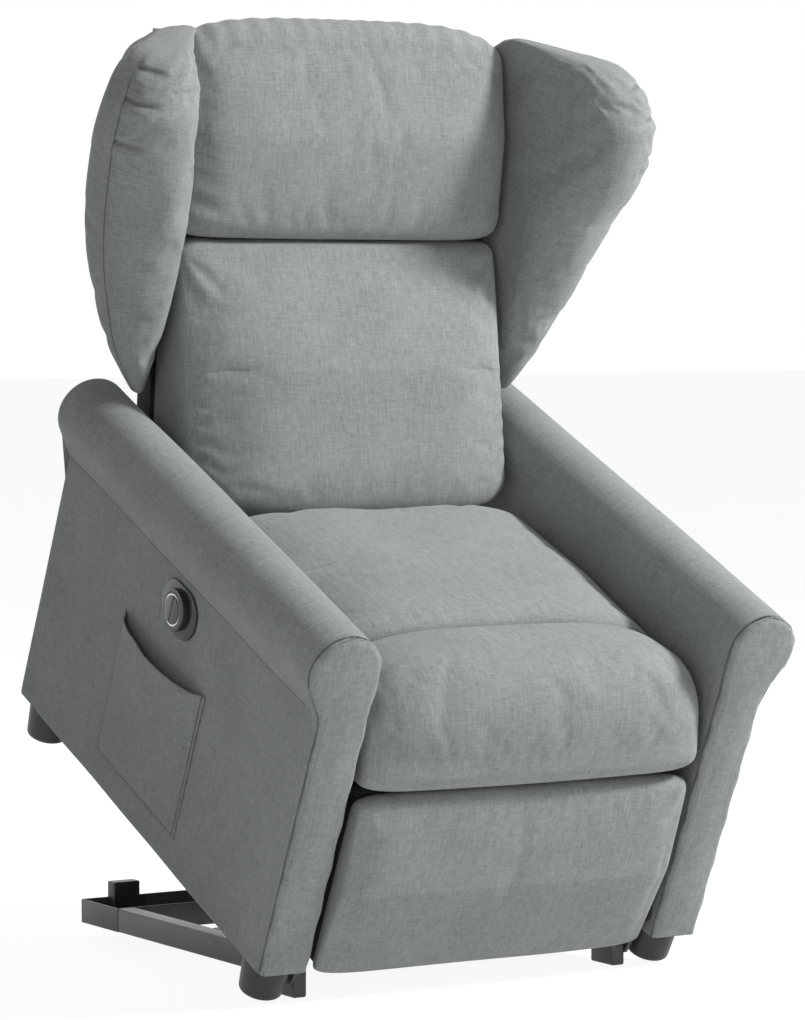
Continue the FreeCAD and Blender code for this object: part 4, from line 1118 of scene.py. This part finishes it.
@dataclass
class Wing:
    """One of the two wings: a slim pad that swells to a broad front edge, with tucks at its top.

    Attributes:
        stations: height, then x, y and radius of the front disc, and y and radius of the rear one.
        tucks: height and length of each tuck in the front edge.
        seam_turn: where the seam lies on the front disc, in degrees from straight outwards.
        seam_top: the height at which the seam ends.
        fine_from: the height from which the rings stand close, for the tucks.
        coarse, fine: spacing of the rings below and above that height.
        tuck_depth: how far a tuck is drawn in.
        ridge_under, ridge_over: how far the cloth swells below and above a tuck.
        groove: how far the seam is drawn in.
        dome: how far the ends swell.
    """

    shop: Workshop
    side: Side
    inner: float = 264.0
    stations: tuple[tuple[float, ...], ...] = (
        (577, 308, 364, 9, 436, 11), (600, 313, 370, 20, 438, 18), (640, 322, 379, 35, 446, 24),
        (700, 331, 386, 50, 462, 28), (770, 344, 388, 62, 484, 30), (850, 357, 380, 69, 511, 30),
        (930, 373, 364, 70, 539, 30), (1000, 379, 360, 65, 560, 28), (1046, 371, 375, 56, 524, 22),
        (1068, 364, 384, 46, 498, 16), (1079, 360, 390, 32, 480, 9))
    tucks: tuple[tuple[float, float], ...] = ((1062, 52), (1024, 56), (965, 52))
    seam_turn: float = -22.0
    seam_top: float = 1052.0
    fine_from: float = 930.0
    coarse: float = 8.0
    fine: float = 3.0
    tuck_depth: float = 4.6
    ridge_under: float = 3.0
    ridge_over: float = 1.8
    groove: float = 1.6
    dome: float = 7.0

    def build(self) -> None:
        """Make the wing."""
        table = np.array(self.stations)
        foot, top = table[0, 0], table[-1, 0]
        height = np.concatenate((np.arange(foot, self.fine_from, self.coarse),
                                 np.arange(self.fine_from, top + 0.1, self.fine)))
        columns = [self._smooth(height, table[:, 0], table[:, column]) for column in range(1, 6)]
        values = np.stack(columns, axis=1)
        front = values[:, :3]
        rear = np.stack((self.inner + values[:, 4], values[:, 3], values[:, 4]), axis=1)
        outline = belt_points(np.stack((front, rear), axis=1), (56, 22), (18, 18))
        x = self.side.value * outline[..., 0]
        z = np.broadcast_to(height[:, None], x.shape)
        rings = np.stack((x, outline[..., 1], z), axis=2)
        middle = outline[len(height) // 2]
        steps = np.linalg.norm(np.roll(middle, -1, axis=0) - middle, axis=1)
        form = Shell(rings, np.concatenate(([0.0], np.cumsum(steps))), height.astype(float))
        self._dress(form, front)
        node = f"wing_{self.side.word}"
        plan = ClothPlan(1.8, 0.014, 0.006)
        self.shop.upholster(node + "_cover", form, self.dome, plan, self._hold, "back", node)

    def _hold(self, level: Array, seam: Array) -> Array:
        """The cloth is held at the foot, the top, the back's side and the seam."""
        free = step_up(level[:, 2], 590, 640) * (1 - step_up(level[:, 2], 1040, 1072))
        off_back = step_up(np.abs(level[:, 0]), self.inner + 2, self.inner + 26)
        return 1 - free * (off_back * step_up(np.abs(seam), 1, 14))

    @staticmethod
    def _smooth(at: Array, known: Array, values: Array) -> Array:
        """Values between stations: a cubic through each pair, with limited slopes (Fritsch-Carlson)."""
        step = np.diff(known)
        slope = np.diff(values) / step
        before, after = slope[:-1], slope[1:]
        total = np.where(before + after == 0, 1, before + after)
        inner = np.where(before * after > 0, 2 * before * after / total, 0)
        tangent = np.concatenate((slope[:1], inner, slope[-1:]))
        index = np.clip(np.searchsorted(known, at, side="right") - 1, 0, len(known) - 2)
        t = (at - known[index]) / step[index]
        rise = step[index]
        start = (2 * t**3 - 3 * t**2 + 1) * values[index] + (t**3 - 2 * t**2 + t) * rise * tangent[index]
        end = (3 * t**2 - 2 * t**3) * values[index + 1]
        return start + end + (t**3 - t**2) * rise * tangent[index + 1]

    def _dress(self, form: Shell, front: Array) -> None:
        """The seam down the outer front, tucks that run inwards from it, and slow unevenness.

        The turn of a point round the front disc is measured from straight outwards, towards the
        front; the tuck is a bell of height above its line, faded out along its length.
        """
        x = np.abs(form.rings[..., 0]) - front[:, None, 0]
        y = form.rings[..., 1] - front[:, None, 1]
        z = form.rings[..., 2]
        turn = np.degrees(np.arctan2(-y, x))
        radius = front[:, None, 2]
        from_seam = np.radians(turn + self.seam_turn) * radius
        on_disc = np.hypot(x, y) < radius + 1
        open_cloth = np.where(from_seam < 0, -OPEN_CLOTH, OPEN_CLOTH)
        form.seam = np.where(on_disc & (z < self.seam_top), from_seam, open_cloth)
        seed = 31 if self.side is Side.LEFT else 32
        amount = slack(form.rings, seed, 1.2, 90)
        amount -= self.groove * bump(np.where(on_disc, from_seam, OPEN_CLOTH), 0, 5)
        # fold marks the bottom of each tuck, where the cloth shader paints shade.
        fold = np.zeros_like(z)
        for height, length in self.tucks:
            reach = step_up(from_seam, -3, 2) * (1 - step_up(from_seam, length - 16, length)) * on_disc
            amount -= self.tuck_depth * reach * bump(z, height, 3.2)
            amount += self.ridge_under * reach * bump(z, height - 13, 9)
            amount += self.ridge_over * reach * bump(z, height + 9, 6)
            fold = np.maximum(fold, reach * bump(z, height, 2.2))
        crown = step_up(z, self.seam_top - 12, self.stations[-1][0])
        pleat = 33.0
        amount += 1.6 * np.sin(from_seam * (2 * math.pi / pleat)) * crown
        form.fold = fold
        push(form, amount, slice(0, 2))


@dataclass
class Arm:
    """One arm: a cloth cover over panel and scroll, and the padded facing at its front.

    Attributes:
        inner, outer: the two faces of the panel.
        low: the panel's lower edge.
        notch: the height at which the scroll meets the panel.
        scroll: x, z and radius of the scroll.
        front, back: the two ends of the arm.
        facing: thickness of the facing.
        seam_stop: where the seam below the scroll ends, behind the facing.
        rear_ease: rounding of the rear end.
        edge_round, edge_depth, crown: how the facing's edge rises, and how far its middle swells.
        points: how many points the section has.
    """

    shop: Workshop
    side: Side
    inner: float = 282.0
    outer: float = 353.0
    low: float = 50.0
    notch: float = 439.0
    scroll: tuple[float, float, float] = (332.0, 510.0, 52.6)
    front: float = -350.0
    facing: float = 12.0
    back: float = 440.0
    seam_stop: float = 31.0
    rear_ease: float = 9.0
    edge_round: float = 9.0
    edge_depth: float = 11.0
    crown: float = 2.4
    points: int = 240

    def outline(self) -> tuple[Array, float, float]:
        """The arm's section, counter-clockwise from the lower inner corner.

        Returns:
            The x and z of its points, its length, and the length at which the notch lies.
        """
        discs = np.array([[(self.inner + 2, self.notch + 2, 2), (self.outer - 2, self.notch + 2, 2),
                           self.scroll]])
        hull = belt_points(discs, (2, 2, 120), (2, 40, 40))[0][6:]
        corners = np.vstack(((self.inner, self.low), (self.outer, self.low), hull))
        return (*even_outline(corners, self.points), self.outer - self.inner + self.notch + 1.5 - self.low)

    def build(self) -> None:
        """Make the cover and the facing."""
        word = self.side.word
        outline, length, notch_at = self.outline()
        soft = soften(outline, 3.2, length)
        self._cover(f"arm_{word}_cover", soft, length, notch_at)
        self._facing(f"arm_{word}_facing_pad", soft)

    def _cover(self, name: str, outline: Array, length: float, notch_at: float) -> None:
        """The cloth round the arm, from the facing to its rounded rear end."""
        start = self.front + self.facing
        ease = self.rear_ease
        y = np.concatenate((start + np.array([0, 1.5, 3.5, 6.5, 11]),
                            np.linspace(start + 18, self.back - 18, 96),
                            self.back - ease + ease * np.sin(np.linspace(0, math.pi / 2, 6))))
        normal = outward(outline)
        rear = np.clip((y - (self.back - ease)) / ease, 0, 1)
        inset = ease * (1 - np.sqrt(np.maximum(0, 1 - 0.98 * rear**2))) + 2.2 * np.exp(-(y - start) / 3.5)
        at = np.arange(self.points) * (length / self.points)
        from_notch = at - notch_at
        along = (y - start)[:, None]
        seam_end = step_up(y, start + self.seam_stop - 5, start + self.seam_stop + 5)[:, None]
        seam = np.abs(from_notch)[None, :] + 40 * (1 - seam_end)
        face = np.broadcast_to(np.abs(y - start)[:, None], seam.shape)
        seam = np.where(from_notch < 0, -1, 1)[None, :] * np.minimum(seam, face + 0.4)
        rings = np.stack((np.broadcast_to(self.side.value * outline[None, :, 0], seam.shape),
                          np.broadcast_to(y[:, None], seam.shape),
                          np.broadcast_to(outline[None, :, 1], seam.shape)), axis=2).copy()
        roll = step_up(outline[:, 1], self.notch, self.notch + 50)[None, :]
        middle = np.sin(np.clip(along / (self.back - start), 0, 1) * math.pi)
        calm = step_up(y, start + 4, start + 60)[:, None]
        seed = 41 if self.side is Side.LEFT else 42
        amount = 1.6 * roll * middle + calm * slack(rings, seed, 0.8, 140)
        amount = amount - 1.4 * bump(from_notch, 0, 4.0)[None, :] * seam_end - inset[:, None]
        rings[..., 0] += self.side.value * normal[None, :, 0] * amount
        rings[..., 2] += normal[None, :, 1] * amount
        form = Shell(rings, np.append(at, length), y.astype(float), seam)
        form.close_ends(1.0)
        word = self.side.word
        piece = self.shop.maker.shell(name, form)
        self.shop.seat_piece(piece, "chair", "fabric", f"arm_panel_{word}", f"arm_roll_{word}",
                             fill=0.5)

    def _facing(self, name: str, outline: Array) -> None:
        """The facing: rows across the outline, raised as a quarter round of the distance to its edge.

        The depth is edge_depth times sqrt(1 - (1 - d / r)^2) for a distance d under r = edge_round,
        plus a slow crown towards the middle of the width.
        """
        x, z = outline[:, 0], outline[:, 1]
        top = z.max()
        low = z.min()
        slowing = np.sin(np.linspace(0, math.pi / 2, 10))[1:]
        t = np.concatenate((np.linspace(0, 0.97, 96), 0.97 + 0.03 * slowing))
        height = low + 0.05 + (top - low - 0.1) * t
        turn_low = int(np.argmin((x - self.inner) ** 2 + (z - self.low) ** 2))
        turn_top = int(np.argmax(z))
        cycle = np.roll(np.arange(self.points), -turn_low)
        rank = int(np.flatnonzero(cycle == turn_top)[0])
        right, left = cycle[: rank + 1], cycle[rank:]
        right_x = self._reach(height, z[right], x[right])
        left_x = self._reach(height, z[left][::-1], x[left][::-1])
        across = np.sin(np.linspace(-math.pi / 2, math.pi / 2, 29))
        share = (across + 1) / 2
        grid_x = left_x[:, None] * (1 - share) + right_x[:, None] * share
        grid_z = np.broadcast_to(height[:, None], grid_x.shape)
        flat = np.stack((grid_x, grid_z), axis=2)
        distance = np.min(np.linalg.norm(flat[:, :, None, :] - outline[None, None], axis=3), axis=2)
        distance[:, [0, -1]] = 0
        distance[[0, -1], :] = 0
        round_edge = np.sqrt(np.maximum(0, 1 - np.clip(1 - distance / self.edge_round, 0, 1) ** 2))
        depth = self.edge_depth * round_edge + self.crown * step_up(distance, 4, 34)
        depth += slack(np.dstack((flat, 0 * grid_x)), 44, 0.5, 90) * step_up(distance, 4, 20)
        seat = self.front + self.facing
        face = np.stack((self.side.value * grid_x, seat - depth, grid_z), axis=2)
        rear = np.stack((self.side.value * grid_x, np.full_like(grid_x, seat - 0.2), grid_z), axis=2)
        piece = self.shop.maker.patch(name, face, rear, flat[..., ::-1], distance + 0.3)
        word = self.side.word
        self.shop.seat_piece(piece, "chair", "fabric", f"arm_facing_{word}", fill=0.5)

    @staticmethod
    def _reach(at: Array, height: Array, reach: Array) -> Array:
        """Where one flank of the outline lies at each height; the flank is made to rise throughout."""
        rising = np.maximum.accumulate(height + np.arange(len(height)) * 1e-6)
        return np.interp(at, rising, reach)


@dataclass
class LegrestPad:
    """The padded board that closes the chair's front and swings up under the calves.

    Attributes:
        half: half its width.
        skin: the front face of the board that carries it.
        low, high: its lower and upper edges.
        edge_draw: how far the outline draws in at the ends.
        dome: how far the ends swell.
    """

    shop: Workshop
    half: float = 264.0
    skin: float = -318.3
    low: float = 38.0
    high: float = 322.0
    edge_draw: float = 11.0
    dome: float = 2.0

    def build(self) -> None:
        """Make the pad."""
        middle = (self.low + self.high) / 2
        pad = Cushion(((self.skin - 13.4, self.low + 13.4, 13.4, 0, 3),
                       (self.skin - 21, self.high - 21, 21, 0, -3),
                       (self.skin - 24, middle, 24, 0, 0)), self.half, self.edge_draw)
        form = pad.shell()
        x, y, z = (form.rings[..., axis] for axis in range(3))
        shown = step_up(self.skin - y, 8, 20)
        corner = bump(np.hypot(np.abs(x) - self.half, z - self.high + 10), 30, 40)
        amount = slack(form.rings, 51, 1.1, 120) * shown
        amount += 1.2 * np.sin(np.arctan2(self.high - z, self.half - np.abs(x) + 1) * 8) * corner * shown
        push(form, amount)
        self.shop.upholster("legrest_pad_cover", form, self.dome, ClothPlan(2.0, 0.012, 0.005), self._hold,
                            "legrest_board", "legrest_pad", 0.6)

    def _hold(self, level: Array, _: Array) -> Array:
        """The cloth is held at the board and along all four edges."""
        height = level[:, 2]
        free = step_up(self.skin - level[:, 1], 10, 24) * (1 - step_up(np.abs(level[:, 0]), 236, 258))
        lower = step_up(height, self.low, self.low + 30)
        return 1 - free * (lower * (1 - step_up(height, self.high - 36, self.high)))


@dataclass
class SidePocket:
    """The open pocket on the outer face of the right arm: one cut of cloth that gapes at its mouth.

    Attributes:
        face: the arm's outer face.
        front, back, low, high: the pocket's edges.
        gape: how far its mouth stands open.
        sag: how far the middle of its mouth hangs.
        thickness: of the cloth.
        stitch_inset: the stitched line, from the edges.
    """

    shop: Workshop
    face: float = -353.0
    front: float = -62.0
    back: float = 190.0
    low: float = 96.0
    high: float = 321.0
    gape: float = 20.0
    sag: float = 12.0
    thickness: float = 1.3
    stitch_inset: float = 5.0

    def build(self) -> None:
        """Make the pocket: its gap grows as the square of the height, and is widest mid mouth."""
        s = np.linspace(0, 1, 49)
        t = np.linspace(0, 1, 41)
        along, up = np.meshgrid(s, t)
        arch = np.sin(math.pi * along)
        drop = self.sag * arch**0.8 * up**3
        y = self.front + (self.back - self.front) * along
        z = self.low + (self.high - self.low) * up - drop
        across, tall = self.back - self.front, self.high - self.low
        edge = np.minimum(np.minimum(along, 1 - along) * across, up * tall)
        puff = step_up(edge, 0, 22)
        gap = 1.8 + puff * (2.2 + self.gape * up**1.7 * (0.35 + 0.65 * arch))
        gap += 1.3 * np.sin(along * 21 + 3 * up) * puff * bump(along, 0.8, 0.25) * (0.3 + 0.7 * up)
        x = self.face - gap
        outer = np.stack((x, y, z), axis=2)
        inner = np.stack((x + self.thickness, y, z), axis=2)
        flat = np.stack((y, z), axis=2)
        piece = self.shop.maker.patch("side_pocket_cloth", outer, inner, flat, edge - self.stitch_inset)
        self.shop.seat_piece(piece, "chair", "fabric", "side_pocket")


# Hard parts.


@dataclass
class HardParts:
    """Steel, lining and plastic nodes: those in sight get eased edges, all get their own finish.

    Attributes:
        eased: the nodes whose edges are rounded, by the width of the rounding in metres.
    """

    shop: Workshop
    eased: dict[float, tuple[str, ...]] = field(default_factory=lambda: {
        0.0008: ("button_raise", "button_recline"),
        0.001: ("lift_ear_left", "lift_ear_right"),
        0.0012: ("base_rear_channel",),
        0.0014: ("control_boss",),
        0.0016: ("control_bezel",),
        0.002: ("bump_stops", "foot_front_left", "foot_front_right", "foot_rear_left", "foot_rear_right",
                "legrest_panel"),
        0.003: ("base_rail_left", "base_rail_right", "base_crossbar", "front_leg_left", "front_leg_right",
                "actuator_housing"),
        0.004: ("actuator_motor", "control_box")})

    def build(self, bodies: dict[str, list[str]], slots: dict[str, str]) -> None:
        """Dress every node that no cloth stands for.

        Args:
            bodies: the nodes of each body.
            slots: the material slot of each node.
        """
        widths = {name: width for width, names in self.eased.items() for name in names}
        for body, names in bodies.items():
            for name in names:
                node = self.shop.nodes[name]
                if node.hide_render:
                    continue
                if name in widths:
                    piece = self.shop.maker.eased_copy(name + "_eased", node, widths[name])
                    self.shop.seat_piece(piece, body, slots[name], name)
                else:
                    self.shop.finishes.dress(node, slots[name])


@dataclass
class Studio:
    """A white floor, soft lamps and the camera of the photograph.

    Attributes:
        shift: how far the row stands behind the place that the camera was found for, in millimetres.
        eye: the camera's place.
        aim: the point that it looks at.
        lens: its focal length.
        sensor: the width of its sensor.
        ambient: the world's strength as a light.
        lamps: name, place, side length in metres and power in watts of each lamp.
    """

    shift: float
    eye: tuple[float, float, float] = (-3027.9, -5074.7, 938.2)
    aim: tuple[float, float, float] = (68.3, -46.3, 639.0)
    lens: float = 144.97
    sensor: float = 36.0
    ambient: float = 0.24
    lamps: tuple[tuple[str, tuple[float, float, float], float, float], ...] = (
        ("key_lamp", (3.8, -2.6, 3.8), 0.9, 430.0),
        ("top_lamp", (1.2, -0.4, 4.4), 1.8, 34.0),
        ("side_lamp", (-3.6, -3.4, 1.4), 2.4, 40.0),
        ("rear_lamp", (0.8, 3.6, 2.6), 2.4, 30.0))

    def build(self) -> None:
        """Make the world, floor, lamps and camera."""
        scene = bpy.context.scene
        scene.view_settings.view_transform = "Standard"
        scene.world = self._world()
        self._floor()
        middle = Vector((0, 0, 0.65))
        for name, place, size, power in self.lamps:
            data = bpy.data.lights.new(name, "AREA")
            data.size = size
            data.energy = power
            lamp = self._stand(name, data, Vector(place), middle)
            lamp.visible_camera = False
        data = bpy.data.cameras.new("camera")
        data.sensor_width = self.sensor
        data.lens = self.lens
        data.clip_start = 0.1
        data.clip_end = 100
        offset = Vector((0, self.shift, 0))
        scene.camera = self._stand("camera", data, (Vector(self.eye) + offset) / 1000,
                                   (Vector(self.aim) + offset) / 1000)

    @staticmethod
    def _stand(name: str, data: bpy.types.ID, place: Vector, aim: Vector) -> bpy.types.Object:
        """Put a lamp or a camera at a place, turned to a point."""
        thing = bpy.data.objects.new(name, data)
        bpy.context.scene.collection.objects.link(thing)
        thing.location = place
        thing.rotation_euler = (aim - thing.location).to_track_quat("-Z", "Y").to_euler()
        return thing

    def _world(self) -> bpy.types.World:
        """White to the eye, in gloss and through glass; a soft pale grey to everything it lights."""
        book = NodeBook("studio", world=True)
        seen = book.rays("Is Camera Ray", "Is Glossy Ray", "Is Transmission Ray")
        lit = book.node("ShaderNodeBackground", {"Color": (1, 1, 1, 1), "Strength": self.ambient})
        shown = book.node("ShaderNodeBackground", {"Color": (1, 1, 1, 1)})
        mixed = book.node("ShaderNodeMixShader", {0: seen, 1: lit.outputs[0], 2: shown.outputs[0]})
        book.surface(mixed.outputs[0])
        return book.owner

    @staticmethod
    def _floor() -> None:
        """A broad white floor that keeps a faint shadow of the chair."""
        mesh = bpy.data.meshes.new("floor")
        reach = 40.0
        corners = [(-reach, -reach, 0), (reach, -reach, 0), (reach, reach, 0), (-reach, reach, 0)]
        mesh.from_pydata(corners, [], [(0, 1, 2, 3)])
        floor = bpy.data.objects.new("floor", mesh)
        bpy.context.scene.collection.objects.link(floor)
        book = NodeBook("white_floor")
        share = book.rays("Is Camera Ray", "Is Glossy Ray") * 0.80
        paint = book.node("ShaderNodeBsdfDiffuse", {"Color": (0.86, 0.86, 0.86, 1)})
        white = book.node("ShaderNodeEmission", {"Color": (1, 1, 1, 1), "Strength": 1.14})
        mixed = book.node("ShaderNodeMixShader", {0: share, 1: paint.outputs[0], 2: white.outputs[0]})
        book.surface(mixed.outputs[0])
        mesh.materials.append(book.owner)


def main() -> None:
    """Load the frame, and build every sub-assembly on it."""
    logging.basicConfig(level=logging.INFO, format="%(message)s")
    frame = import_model()
    record = frame["record"]
    lift_joint = next(joint for joint in frame["joints"] if joint["name"] == "lift")
    pivot = (lift_joint["pos_m"][1] * 1000, lift_joint["pos_m"][2] * 1000)
    lift = Lift(pivot)
    shop = Workshop(frame["nodes"], lift, MeshMaker(lift), Finishes())
    shop.finishes.make()
    Studio(pivot[0] + 349.1).build()
    SeatCushions(shop).build()
    BackCushions(shop).build()
    LegrestPad(shop).build()
    for side in Side:
        Arm(shop, side).build()
        Wing(shop, side).build()
    SidePocket(shop).build()
    slots = {part["node"]: part["material_slot"] for part in record["subparts"]}
    HardParts(shop).build(record["behaviour"]["bodies"], slots)


if __name__ == "__main__":
    main()
